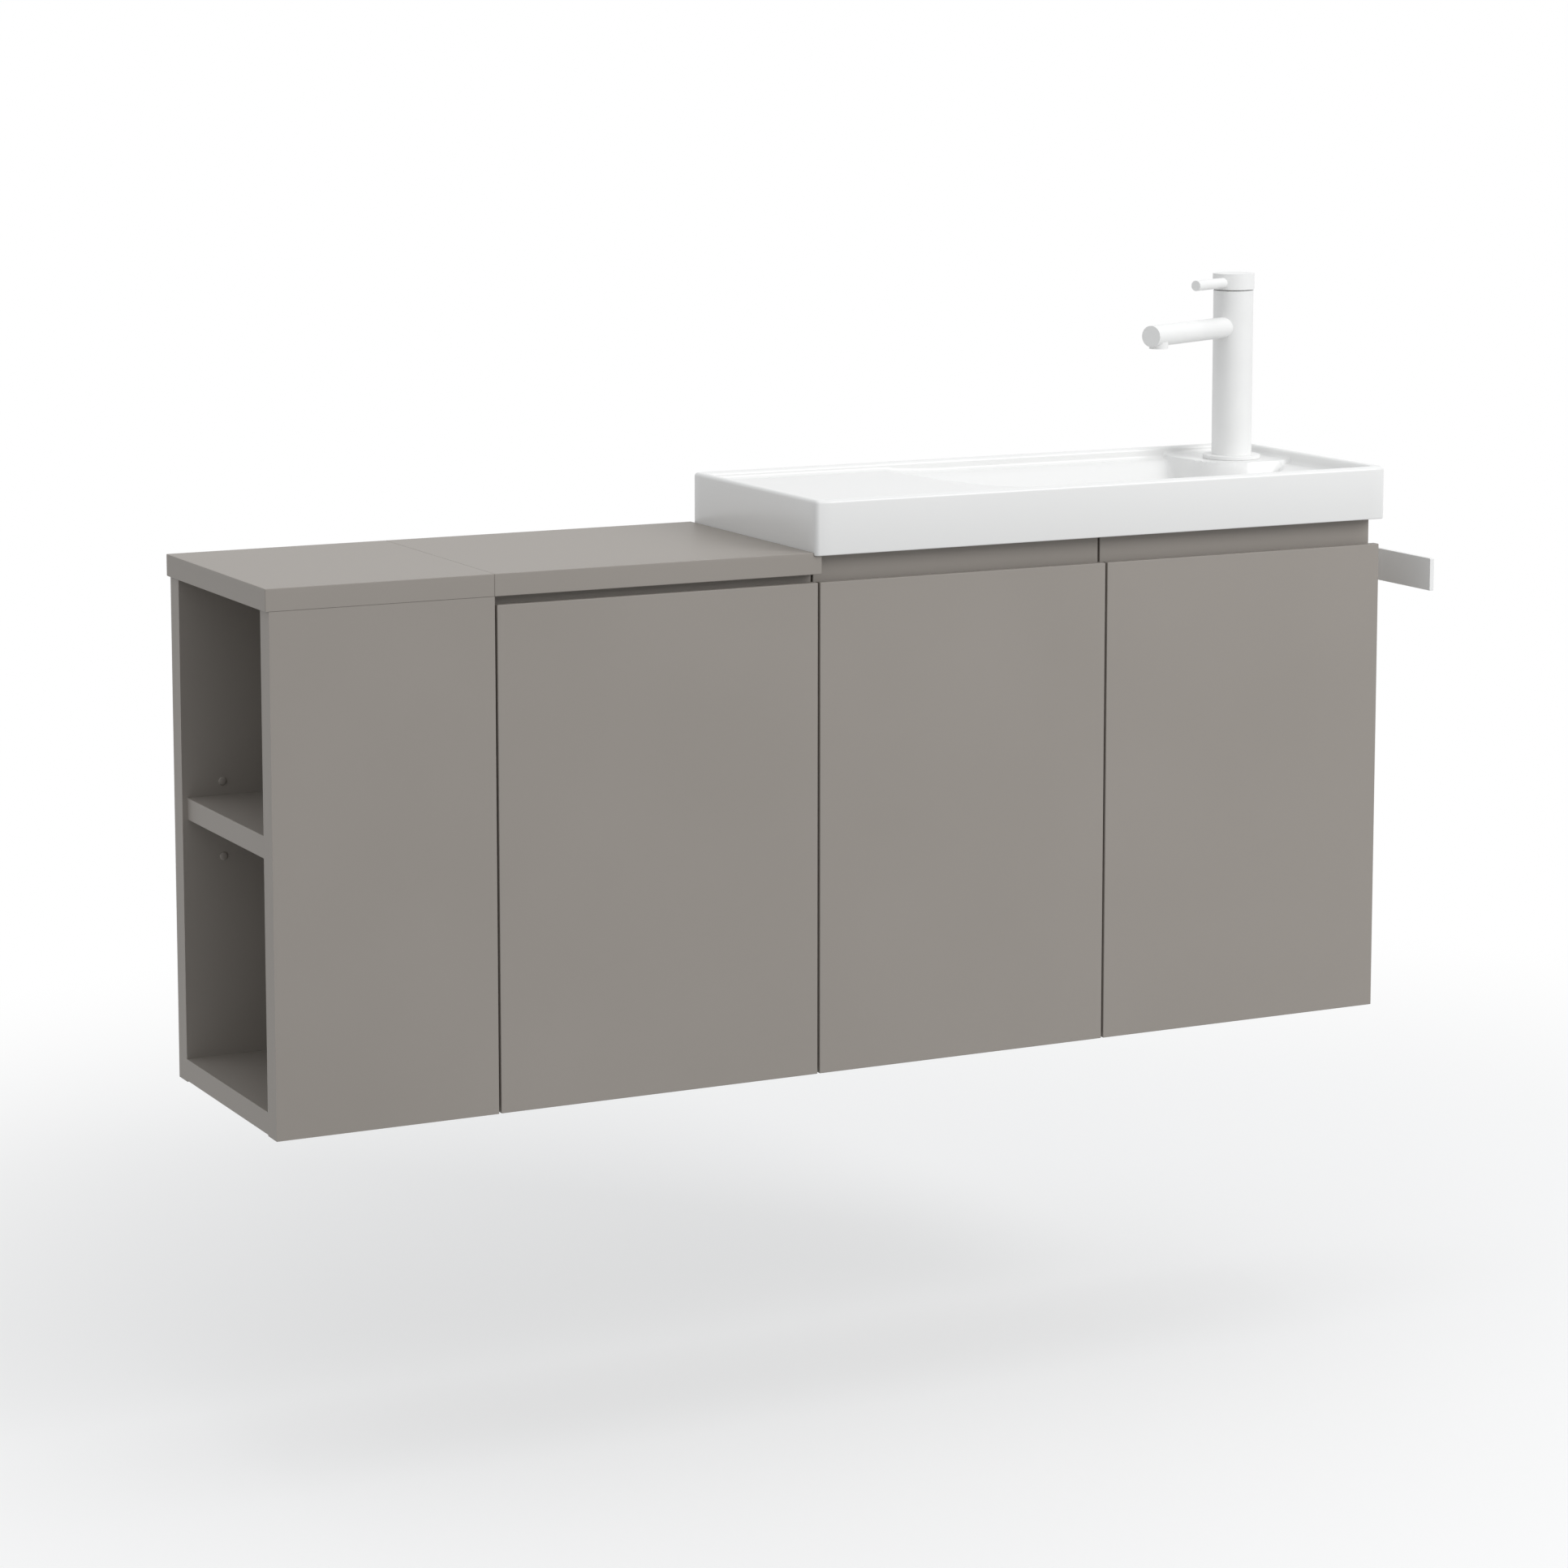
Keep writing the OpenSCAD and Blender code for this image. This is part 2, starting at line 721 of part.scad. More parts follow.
// A steel frame let into a door's back, open for the arm, that holds the hinge pin
cup_wall = 1.1;
flange_t = 1;
module hinge_cups(h) {
  color(steel) placed() at_hinges(h) difference() {
    union() {
      slab(mortise, [skin, door_t], [-mortise_half, mortise_half]);
      slab([mortise[0], mortise[1] + 8], [door_t, door_t + flange_t], [-mortise_half - 5, mortise_half + 5]);
    }
    slab([mortise[0] + cup_wall, mortise[1] - cup_wall], [skin - 1, door_t + 2],
      [-arm_h / 2 - 0.6, arm_h / 2 + 0.6]);
    translate([pin_u, pin_v, -mortise_half - 1]) cylinder(r = hinge_pin_r + 0.02, h = 2 * mortise_half + 2);
  }
}

module hinge_pins(h) {
  color(steel) placed() at_hinges(h)
    translate([pin_u, pin_v, -mortise_half + 0.5]) cylinder(r = hinge_pin_r, h = 2 * mortise_half - 1);
}

module door_1_panel() { door_panel(d1, hinges[0]); }
module door_2_panel() { door_panel(d2, hinges[1]); }
module door_3_panel() { door_panel(d3, hinges[2]); }
module door_1_hinge_cups() { hinge_cups(hinges[0]); }
module door_2_hinge_cups() { hinge_cups(hinges[1]); }
module door_3_hinge_cups() { hinge_cups(hinges[2]); }
module door_1_hinge_pins() { hinge_pins(hinges[0]); }
module door_2_hinge_pins() { hinge_pins(hinges[1]); }
module door_3_hinge_pins() { hinge_pins(hinges[2]); }
module door_1_handle_strip() { color(lacquer) placed() handle_strip(d1, base_h); }

// The middle strip is cut back where it rises past the worktop's end
module door_2_handle_strip() {
  color(lacquer) placed() difference() {
    handle_strip(d2, sink_h);
    slab([d2[0] - 1, worktop_end + clear], [door_t - 1, strip_y + 1], [base_h - clear, sink_h]);
  }
}

module door_3_handle_strip() {
  color(lacquer) placed() handle_strip([d3[0], d3[1] - strip_end], sink_h);
}

// Plan of the basin, inset by d, with corners of radius r
module basin_plan(d, r) {
  x = [basin_x[0] + d, basin_x[1] - d];
  y = [basin_y[0] + d, basin_y[1] - d];
  translate([x[0] + r, y[0]]) square([x[1] - x[0] - 2 * r, y[1] - y[0]]);
  translate([x[0], y[0] + r]) square([x[1] - x[0], y[1] - y[0] - 2 * r]);
  for (cx = [x[0] + r, x[1] - r]) for (cy = [y[0] + r, y[1] - r]) translate([cx, cy]) circle(r);
}

module basin_block(d, r, z) {
  translate([0, 0, z[0]]) linear_extrude(z[1] - z[0]) basin_plan(d, r);
}

// Height of the bowl's wall at a share t of the way from its floor to its edge
bowl_steps = 8;
function bowl_profile(g) = concat(
  [[0, bowl_z - g]],
  [for (i = [0 : bowl_steps]) let (t = i / bowl_steps)
    [bowl_floor_r + (bowl_r - bowl_floor_r) * t + g, bowl_z - g + (bowl_d + g) * pow(t, 2.2)]],
  [[bowl_r + g, tray_z + 1], [0, tray_z + 1]]
);

// The tap's pad from height z[0] to z[1]: two round ends pad_run apart and the straight part between
module pad_form(r, z) {
  h = z[1] - z[0];
  for (x = [0, pad_run]) translate([tap_x + x, tap_y, z[0]]) cylinder(r1 = r[0], r2 = r[1], h = h);
  translate([tap_x, tap_y, z[0]]) rotate([90, 0, 90]) linear_extrude(pad_run)
    polygon([[-r[0], 0], [r[0], 0], [r[1], h], [-r[1], h]]);
}

// The bowl grown by g: an arc in front, a straight slope behind, kept off the tap's pad
pad_taper = 1.35;
module bowl_shape(g) {
  difference() {
    intersection() {
      translate([bowl_x, bowl_y, 0]) rotate_extrude($fn = 96) polygon(bowl_profile(g));
      translate([basin_x[0], 0, 0]) rotate([90, 0, 90])
        linear_extrude(basin_l - rim_w - 1 + g)
          polygon([
            [basin_y[0], bowl_z - g - 1], [bowl_y - bowl_back_run + g, bowl_z - g - 1],
            [bowl_y - bowl_back_run + g, bowl_z - g], [bowl_y + g, tray_z],
            [bowl_y + g, tray_z + 2], [basin_y[0], tray_z + 2]
          ]);
    }
    pad_form([pad_r * pad_taper - g, pad_r - g], [bowl_z - ceramic_t - 2, tray_z]);
    slab([tap_x - pad_r + g, basin_x[1] + 1], [tap_y, wall_y], [bowl_z - ceramic_t - 2, tray_z + 3]);
  }
}

// A shallow fall of the floor from the flat tray towards the bowl, kept off the pad
module tray_fall() {
  difference() {
    intersection() {
      basin_block(rim_w, 5, [tray_z - 6, tray_z + 1]);
      translate([0, basin_y[1], 0]) rotate([90, 0, 0]) linear_extrude(basin_y[1] - basin_y[0])
        polygon([
          [basin_x[0] + tray_l, tray_z], [bowl_x, tray_z - tray_fall_d], [basin_x[1], tray_z - tray_fall_d],
          [basin_x[1], tray_z + 1], [basin_x[0] + tray_l, tray_z + 1]
        ]);
    }
    pad_form([pad_r, pad_r], [tray_z - 7, tray_z + 2]);
    slab([tap_x - pad_r, basin_x[1] + 1], [tap_y, wall_y], [tray_z - 7, tray_z + 2]);
  }
}

module basin() {
  color(white) placed() difference() {
    union() {
      difference() {
        basin_block(0, 6, basin_z);
        basin_block(skirt_t, 5, [basin_z[0] - 1, tray_z - deck_t]);
      }
      bowl_shape(ceramic_t);
    }
    basin_block(rim_w, 5, [tray_z, basin_z[1] + 1]);
    tray_fall();
    bowl_shape(0);
    translate([tap_x, tap_y, tray_z - deck_t - 1]) cylinder(r = tap_hole_d / 2, h = deck_t + 2);
    translate([waste_x, waste_y, bowl_z - ceramic_t - 1]) cylinder(r = waste_hole_d / 2, h = ceramic_t + 2);
  }
}

// Runs its children at the waste hole, on the bowl's floor
module at_waste() {
  translate([waste_x, waste_y, bowl_z]) children();
}

// A round tube that starts at height z and runs up
module tube(r, bore, z, h) {
  translate([0, 0, z]) difference() {
    cylinder(r = r, h = h);
    translate([0, 0, -1]) cylinder(r = bore, h = h + 2);
  }
}

// Waste fitting: flange on the bowl's floor, barrel and tail pipe, and the cast cross right under the
// flange, whose hub guides the plug's stem
module waste_body() {
  color(steel) placed() at_waste() {
    tube(flange_r, pipe_bore, 0, flange_h);
    tube(barrel_r, pipe_bore, -barrel_l, barrel_l);
    tube(waste_pipe_d / 2, pipe_bore, -tail_l, tail_l - barrel_l + 1);
    difference() {
      union() {
        for (turn = [0, 90]) rotate([0, 0, turn])
          translate([-barrel_r + 1, -guide_arm_t / 2, guide_z]) cube([2 * barrel_r - 2, guide_arm_t, guide_h]);
        translate([0, 0, guide_z]) cylinder(r = plug_stem_r + guide_hub_t, h = guide_h);
      }
      translate([0, 0, guide_z - 1]) cylinder(r = plug_stem_r + run, h = guide_h + 2);
    }
  }
}

module waste_nut() {
  color(steel) placed() at_waste() difference() {
    translate([0, 0, -ceramic_t - waste_nut_h]) cylinder(r = barrel_r + 9, h = waste_nut_h, $fn = 8);
    translate([0, 0, -ceramic_t - waste_nut_h - 1]) cylinder(r = barrel_r + slip, h = waste_nut_h + 2);
  }
}

// Push-down plug, drawn raised
module waste_plug() {
  color(steel) placed() at_waste() {
    translate([0, 0, flange_h + plug_travel + 0.3]) cylinder(r = flange_r - 3, h = plug_cap_h);
    translate([0, 0, guide_z - plug_travel])
      cylinder(r = plug_stem_r, h = flange_h + 2 * plug_travel + 1 - guide_z);
  }
}

// Bottle trap: body with dip tube and side outlet, and its cup below
module trap_body() {
  color(white) placed() translate([waste_x, waste_y, trap_z]) difference() {
    union() {
      tube(trap_d / 2, trap_bore, -trap_half, trap_half * 2 - 3);
      translate([0, 0, trap_half - 4]) cylinder(r = trap_d / 2, h = 4);
      translate([0, 0, trap_half - 1]) cylinder(r = waste_pipe_d / 2 + 5, h = trap_neck + 1);
      translate([0, 0, -dip_l]) cylinder(r = waste_pipe_d / 2 + 1.5, h = dip_l + trap_half - 2);
      translate([0, trap_bore + 1, 0]) rotate([-90, 0, 0]) cylinder(r = waste_pipe_d / 2 + 5, h = outlet_boss);
    }
    translate([0, 0, -dip_l - 1]) cylinder(r = waste_pipe_d / 2 - 1.5, h = dip_l + trap_half + trap_neck + 2);
    translate([0, 0, trap_half - tail_in]) cylinder(r = waste_pipe_d / 2 + slip, h = tail_in + trap_neck + 1);
    translate([0, trap_bore - 3, 0]) rotate([-90, 0, 0])
      cylinder(r = waste_pipe_d / 2 + slip, h = outlet_boss + 6);
  }
}

module trap_cup() {
  color(white) placed() translate([waste_x, waste_y, trap_z - trap_half]) {
    tube(trap_d / 2, trap_bore, -cup_l, cup_l);
    tube(trap_d / 2 + 3, trap_bore, -18, 14);
    tube(trap_bore - slip, trap_bore - 2.5, -4, 14);
    tube(trap_bore + 1, trap_bore - 2.5, -4, 3);
    translate([0, 0, -cup_l]) cylinder(r = trap_bore + 1, h = 3);
  }
}

module trap_outlet_pipe() {
  color(white) placed() translate([waste_x, waste_y + trap_bore + 6, trap_z]) rotate([-90, 0, 0])
    tube(waste_pipe_d / 2, waste_pipe_d / 2 - 2, 0, wall_y - waste_y - trap_bore - 6);
}

module trap_wall_collar() {
  color(white) placed() translate([waste_x, wall_y - 5, trap_z]) rotate([-90, 0, 0]) {
    tube(waste_pipe_d, waste_pipe_d / 2 + slip, 3, 2);
    tube(waste_pipe_d / 2 + 4, waste_pipe_d / 2 + slip, 0, 4);
  }
}

// Runs its children at the tap's axis, on the basin's tray
module at_tap() {
  translate([tap_x, tap_y, tray_z]) children();
}

module tap_base_ring() {
  color(white) placed() at_tap() tube(tap_ring_d / 2, shank_r + slip, 0, ring_h);
}

// Body with a bore for the cartridge at its top and the threaded shank below
module tap_body() {
  color(white) placed() at_tap() difference() {
    union() {
      translate([0, 0, ring_h]) cylinder(r = tap_d / 2, h = tap_h - ring_h);
      translate([0, 0, -shank_l]) cylinder(r = shank_r, h = shank_l + ring_h + 1);
    }
    translate([0, 0, tap_h - bore_depth]) cylinder(r = bore_r, h = bore_depth + 1);
    for (k = [-1, 1]) translate([k * inlet_pitch / 2, 0, -shank_l - 1])
      cylinder(r = inlet_r + inlet_step + slip, h = inlet_in + 1);
  }
}

// Round spout with a flat closed end, cut to the body's round at its root
module tap_spout() {
  color(white) placed() at_tap() difference() {
    translate([0, 0, spout_z]) rotate([0, 90, spout_dir])
      translate([0, 0, tap_d / 2 - 4]) cylinder(r = spout_d / 2, h = spout_l - tap_d / 2 + 4);
    cylinder(r = tap_d / 2, h = tap_h);
    rotate([0, 0, spout_dir]) translate([spout_l - aerator_in, 0, spout_z - spout_d / 2 - 1])
      cylinder(r = aerator_r + slip, h = aerator_deep + 1);
  }
}

// Aerator under the spout's end, with a grid of holes in its mouth
aerator_r = 12;
aerator_in = 18;
aerator_out = 3;
aerator_deep = 6;
module tap_aerator() {
  color(steel) placed() at_tap() rotate([0, 0, spout_dir])
    translate([spout_l - aerator_in, 0, spout_z - spout_d / 2 - aerator_out]) difference() {
      cylinder(r = aerator_r, h = aerator_out + aerator_deep - slip);
      translate([0, 0, -1]) cylinder(r = aerator_r - 1.2, h = 3);
      for (ring = [[1, 0], [6, 3.8], [12, 7.6]])
        for (i = [1 : ring[0]])
          rotate([0, 0, 360 * i / ring[0]]) translate([ring[1], 0, 1]) cylinder(r = 0.9, h = 5);
    }
}

// Cartridge in the body's bore, with a bore of its own for the handle's stem
module tap_cartridge() {
  color("gainsboro") placed() at_tap() difference() {
    translate([0, 0, tap_h - bore_depth]) cylinder(r = bore_r - slip, h = bore_depth - 3);
    translate([0, 0, tap_h - stem_depth - 1]) cylinder(r = stem_r + run, h = stem_depth + 2);
  }
}

stem_depth = 24;
module tap_stem() {
  color(steel) placed() at_tap()
    translate([0, 0, tap_h - stem_depth]) cylinder(r = stem_r, h = stem_depth + joint_gap + cap_h / 2);
}

module tap_cap() {
  color(white) placed() at_tap() difference() {
    translate([0, 0, tap_h + joint_gap]) cylinder(r = tap_d / 2 + cap_over, h = cap_h);
    translate([0, 0, tap_h]) cylinder(r = stem_r + slip, h = joint_gap + cap_h / 2 + slip);
  }
}

module tap_lever() {
  color(white) placed() at_tap() difference() {
    translate([0, 0, lever_z]) rotate([0, 90, lever_dir]) cylinder(r = lever_d / 2, h = lever_l);
    cylinder(r = tap_d / 2 + cap_over, h = tap_h + cap_h + 2 * joint_gap);
  }
}

// Washer and nut that clamp the tap under the tray
washer_r = 26;
washer_t = 3;
shank_nut_r = 21;
shank_nut_h = 10;
module tap_shank_nut() {
  color(steel) placed() at_tap() {
    tube(washer_r, shank_r + slip, -deck_t - washer_t, washer_t);
    difference() {
      translate([0, 0, -deck_t - washer_t - shank_nut_h]) cylinder(r = shank_nut_r, h = shank_nut_h + 0.5, $fn = 6);
      translate([0, 0, -deck_t - washer_t - shank_nut_h - 1]) cylinder(r = shank_r + slip, h = shank_nut_h + 2);
    }
  }
}

// Two tails that are let into the shank and end in plain tube for the supply's nuts
module tap_inlets() {
  color("chocolate") placed() at_tap() for (k = [-1, 1])
    translate([k * inlet_pitch / 2, 0, -shank_l - inlet_l + inlet_in]) difference() {
      union() {
        cylinder(r = inlet_r, h = inlet_l);
        translate([0, 0, inlet_end_l]) cylinder(r = inlet_r + inlet_step, h = inlet_l - inlet_end_l);
      }
      translate([0, 0, -1]) cylinder(r = inlet_r - 1, h = inlet_l + 2);
    }
}

// Flat bar towel rail: foot on the cabinet's side, short arm at the rear, long free arm
module towel_rail() {
  z = [bar_z, bar_z + bar_h];
  x = [sink_x[1], sink_x[1] + bar_out];
  color(white) placed() difference() {
    union() {
      slab([x[0], x[0] + bar_t], [unit_depth - foot_l, unit_depth], z);
      slab(x, [unit_depth - bar_t, unit_depth], z);
      slab([x[1] - bar_t, x[1]], [unit_depth - bar_l, unit_depth], z);
    }
    screw_holes();
  }
}

niche_front_panel();
niche_rear_panel();
niche_side_panel();
niche_floor();
niche_shelf();
shelf_pins();
niche_hole_caps();
worktop_left();
worktop_right();
base_side_left();
base_side_right();
base_floor();
base_front_rail();
base_rear_rail();
base_shelf();
sink_side_left();
sink_side_right();
sink_floor();
sink_front_rail();
sink_rear_rail();
board_dowels();
joining_bolts();
hanger_hooks();
wall_plates();
niche_keyhole_plates();
fixing_screws();
hinge_arms();
door_bumpers();
basin();
waste_body();
waste_nut();
waste_plug();
trap_body();
trap_cup();
trap_outlet_pipe();
trap_wall_collar();
tap_base_ring();
tap_body();
tap_spout();
tap_aerator();
tap_cartridge();
tap_stem();
tap_cap();
tap_lever();
tap_shank_nut();
tap_inlets();
towel_rail();
door_1_panel();
door_1_handle_strip();
door_1_hinge_cups();
door_1_hinge_pins();
door_2_panel();
door_2_handle_strip();
door_2_hinge_cups();
door_2_hinge_pins();
door_3_panel();
door_3_handle_strip();
door_3_hinge_cups();
door_3_hinge_pins();
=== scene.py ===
import json
import math

import bpy
import numpy as np
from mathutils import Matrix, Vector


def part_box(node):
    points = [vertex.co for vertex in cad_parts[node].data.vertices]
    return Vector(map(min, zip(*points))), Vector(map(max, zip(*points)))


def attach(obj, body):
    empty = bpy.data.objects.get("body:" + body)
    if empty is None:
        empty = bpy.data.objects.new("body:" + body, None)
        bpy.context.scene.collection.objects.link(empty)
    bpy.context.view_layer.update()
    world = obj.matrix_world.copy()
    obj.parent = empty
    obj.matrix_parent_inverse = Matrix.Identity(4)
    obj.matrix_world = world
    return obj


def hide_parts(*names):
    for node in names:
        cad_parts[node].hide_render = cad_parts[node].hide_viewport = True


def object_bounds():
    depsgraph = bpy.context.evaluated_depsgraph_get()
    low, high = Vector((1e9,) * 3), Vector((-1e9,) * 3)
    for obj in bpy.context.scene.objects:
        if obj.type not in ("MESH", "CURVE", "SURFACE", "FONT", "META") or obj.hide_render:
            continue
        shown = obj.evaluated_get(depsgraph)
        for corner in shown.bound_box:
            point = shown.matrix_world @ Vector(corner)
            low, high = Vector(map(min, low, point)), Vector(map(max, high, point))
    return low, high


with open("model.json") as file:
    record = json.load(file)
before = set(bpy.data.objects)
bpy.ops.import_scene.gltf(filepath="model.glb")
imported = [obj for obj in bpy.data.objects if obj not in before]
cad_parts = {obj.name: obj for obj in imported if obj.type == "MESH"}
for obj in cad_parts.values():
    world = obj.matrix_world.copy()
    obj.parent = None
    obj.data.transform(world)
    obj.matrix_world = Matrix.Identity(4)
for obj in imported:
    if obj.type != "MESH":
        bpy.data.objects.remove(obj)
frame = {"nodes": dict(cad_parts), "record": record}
cad_low, cad_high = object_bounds()
NODES = frame["nodes"]

# The camera stands to the left of the unit, well back and above it, and looks a little down.
# Its long lens keeps the doors' upright edges nearly parallel, and a small shift lifts the unit.
CAMERA_PLACE = (-2.7461, -4.8872, 0.7594)
CAMERA_DOWN = math.radians(7.461)
CAMERA_TURN = math.radians(-26.840)
CAMERA_LENS = 101.10
CAMERA_SHIFT = -0.15


def make_camera():
    """A camera at CAMERA_PLACE, turned CAMERA_TURN about Z and tipped CAMERA_DOWN below the horizon."""
    data = bpy.data.cameras.new("camera")
    data.lens = CAMERA_LENS
    data.sensor_width = 36.0
    data.shift_y = CAMERA_SHIFT
    data.clip_start = 0.1
    data.clip_end = 400.0
    camera = bpy.data.objects.new("camera", data)
    camera.location = CAMERA_PLACE
    camera.rotation_euler = (math.pi / 2 - CAMERA_DOWN, 0.0, CAMERA_TURN)
    bpy.context.collection.objects.link(camera)
    bpy.context.scene.camera = camera


make_camera()
bpy.context.scene.view_settings.view_transform = "Standard"

# Soft studio light: a large lamp in front and to the right, a wide one overhead, and a pale world.
# The world shows white behind everything, and lights the unit evenly at a lower strength.
WORLD_LIGHT = 0.68
WORLD_TINT = (0.97, 0.985, 1.0)
KEY_PLACE = (2.6, -4.2, 2.6)
KEY_AIM = (0.2, -0.1, 0.0)
KEY_SIZE = 2.6
KEY_POWER = 128.0
TOP_PLACE = (-0.4, -0.6, 3.4)
TOP_AIM = (-0.2, -0.1, 0.2)
TOP_SIZE = 2.4
TOP_POWER = 20.0


def shown_rays(nodes, links):
    """1 for camera, mirror and glass rays and 0 for the rest: the largest of the three flags."""
    rays = nodes.new("ShaderNodeLightPath")
    first = nodes.new("ShaderNodeMath")
    first.operation = "MAXIMUM"
    both = nodes.new("ShaderNodeMath")
    both.operation = "MAXIMUM"
    links.new(rays.outputs["Is Camera Ray"], first.inputs[0])
    links.new(rays.outputs["Is Glossy Ray"], first.inputs[1])
    links.new(first.outputs[0], both.inputs[0])
    links.new(rays.outputs["Is Transmission Ray"], both.inputs[1])
    return both.outputs[0]


def make_world():
    """White for camera, mirror and glass rays, and a plain grey of strength WORLD_LIGHT for the rest."""
    world = bpy.data.worlds.new("studio")
    world.use_nodes = True
    nodes, links = world.node_tree.nodes, world.node_tree.links
    nodes.clear()
    out = nodes.new("ShaderNodeOutputWorld")
    mix = nodes.new("ShaderNodeMixShader")
    light = nodes.new("ShaderNodeBackground")
    light.inputs["Color"].default_value = (*WORLD_TINT, 1.0)
    light.inputs["Strength"].default_value = WORLD_LIGHT
    white = nodes.new("ShaderNodeBackground")
    white.inputs["Color"].default_value = (1.0, 1.0, 1.0, 1.0)
    links.new(shown_rays(nodes, links), mix.inputs[0])
    links.new(light.outputs[0], mix.inputs[1])
    links.new(white.outputs[0], mix.inputs[2])
    links.new(mix.outputs[0], out.inputs["Surface"])
    bpy.context.scene.world = world


def make_lamp(name, place, aim, size, power):
    """A square area lamp of the given size at place, turned so that it faces aim."""
    data = bpy.data.lights.new(name, "AREA")
    data.shape = "SQUARE"
    data.size = size
    data.energy = power
    lamp = bpy.data.objects.new(name, data)
    way = np.array(aim) - np.array(place)
    flat = math.hypot(way[0], way[1])
    lamp.location = place
    lamp.rotation_euler = (math.pi / 2 - math.atan2(-way[2], flat), 0.0, math.atan2(-way[0], way[1]))
    bpy.context.collection.objects.link(lamp)


make_world()
make_lamp("key_lamp", KEY_PLACE, KEY_AIM, KEY_SIZE, KEY_POWER)
make_lamp("top_lamp", TOP_PLACE, TOP_AIM, TOP_SIZE, TOP_POWER)

# The floor is a wide pale sheet a little below the hanging unit, and takes its soft shadow.
# Far from the unit it turns into plain white, so that no edge shows behind it.
FLOOR_DROP = 0.42
FLOOR_HALF = 180.0
FLOOR_FADE = (1.2, 2.6)
FLOOR_TONE = 0.94
FLOOR_BOUNCE = 0.52
FLOOR_WHITE = 0.30


def make_floor():
    """A flat square FLOOR_DROP below the unit: pale matt near it, shadeless white beyond FLOOR_FADE metres.

    The near part is FLOOR_WHITE shadeless too, which keeps the unit's shadow light. It throws less light
    up than the camera sees of it, so that the unit's underside and niche stay dark.
    """
    z = cad_low.z - FLOOR_DROP
    ends = (-FLOOR_HALF, FLOOR_HALF)
    corners = [(ends[0], ends[0], z), (ends[1], ends[0], z), (ends[1], ends[1], z), (ends[0], ends[1], z)]
    mesh = bpy.data.meshes.new("floor")
    mesh.from_pydata(corners, [], [(0, 1, 2, 3)])
    floor = bpy.data.objects.new("floor", mesh)
    bpy.context.collection.objects.link(floor)
    material = bpy.data.materials.new("pale_floor")
    material.use_nodes = True
    nodes, links = material.node_tree.nodes, material.node_tree.links
    nodes.clear()
    out = nodes.new("ShaderNodeOutputMaterial")
    matt = nodes.new("ShaderNodeBsdfDiffuse")
    matt.inputs["Color"].default_value = (*[FLOOR_TONE] * 3, 1.0)
    dull = nodes.new("ShaderNodeBsdfDiffuse")
    dull.inputs["Color"].default_value = (*[FLOOR_BOUNCE] * 3, 1.0)
    near = nodes.new("ShaderNodeMixShader")
    plain = nodes.new("ShaderNodeEmission")
    plain.inputs["Color"].default_value = (1.0, 1.0, 1.0, 1.0)
    coords = nodes.new("ShaderNodeTexCoord")
    length = nodes.new("ShaderNodeVectorMath")
    length.operation = "LENGTH"
    fade = nodes.new("ShaderNodeMapRange")
    fade.interpolation_type = "SMOOTHSTEP"
    fade.inputs["From Min"].default_value = FLOOR_FADE[0]
    fade.inputs["From Max"].default_value = FLOOR_FADE[1]
    fade.inputs["To Min"].default_value = FLOOR_WHITE
    share = nodes.new("ShaderNodeMath")
    share.operation = "MULTIPLY"
    mix = nodes.new("ShaderNodeMixShader")
    links.new(coords.outputs["Object"], length.inputs[0])
    links.new(length.outputs["Value"], fade.inputs["Value"])
    seen = shown_rays(nodes, links)
    links.new(fade.outputs["Result"], share.inputs[0])
    links.new(seen, share.inputs[1])
    links.new(share.outputs[0], mix.inputs[0])
    links.new(seen, near.inputs[0])
    links.new(dull.outputs[0], near.inputs[1])
    links.new(matt.outputs[0], near.inputs[2])
    links.new(near.outputs[0], mix.inputs[1])
    links.new(plain.outputs[0], mix.inputs[2])
    links.new(mix.outputs[0], out.inputs["Surface"])
    mesh.materials.append(material)


make_floor()

# Carcass, niche unit, worktops and doors are boards sprayed with one warm grey lacquer.
# Their edges are broken by hand sanding, so each board gets a fine round before it is painted.
LACQUER = (0.319, 0.292, 0.264)
LACQUER_DEEP = (LACQUER[0] * 0.975, LACQUER[1] * 0.975, LACQUER[2] * 0.975)
LACQUER_PALE = (LACQUER[0] * 1.02, LACQUER[1] * 1.02, LACQUER[2] * 1.025)
EDGE_ROUND = 0.0008
ROUND_STEPS = 2
ROUND_FROM = math.radians(50.0)
JOIN_WITHIN = 0.00001


def nodes_of(slot):
    """Names of the CAD nodes that the record gives this material slot."""
    return [part["node"] for part in frame["record"]["subparts"] if part["material_slot"] == slot]


def new_finish(name):
    """A new material, with its nodes, its links and its surface shader."""
    material = bpy.data.materials.new(name)
    material.use_nodes = True
    nodes, links = material.node_tree.nodes, material.node_tree.links
    return material, nodes, links, nodes["Principled BSDF"]


def fine_grain(nodes, links, scale, detail=3.0, stretch=(1.0, 1.0, 1.0)):
    """Noise on Object coordinates, drawn out by dividing each axis by its stretch."""
    coords = nodes.new("ShaderNodeTexCoord")
    turn = nodes.new("ShaderNodeMapping")
    turn.inputs["Scale"].default_value = tuple(1.0 / value for value in stretch)
    noise = nodes.new("ShaderNodeTexNoise")
    noise.inputs["Scale"].default_value = scale
    noise.inputs["Detail"].default_value = detail
    links.new(coords.outputs["Object"], turn.inputs["Vector"])
    links.new(turn.outputs["Vector"], noise.inputs["Vector"])
    return noise


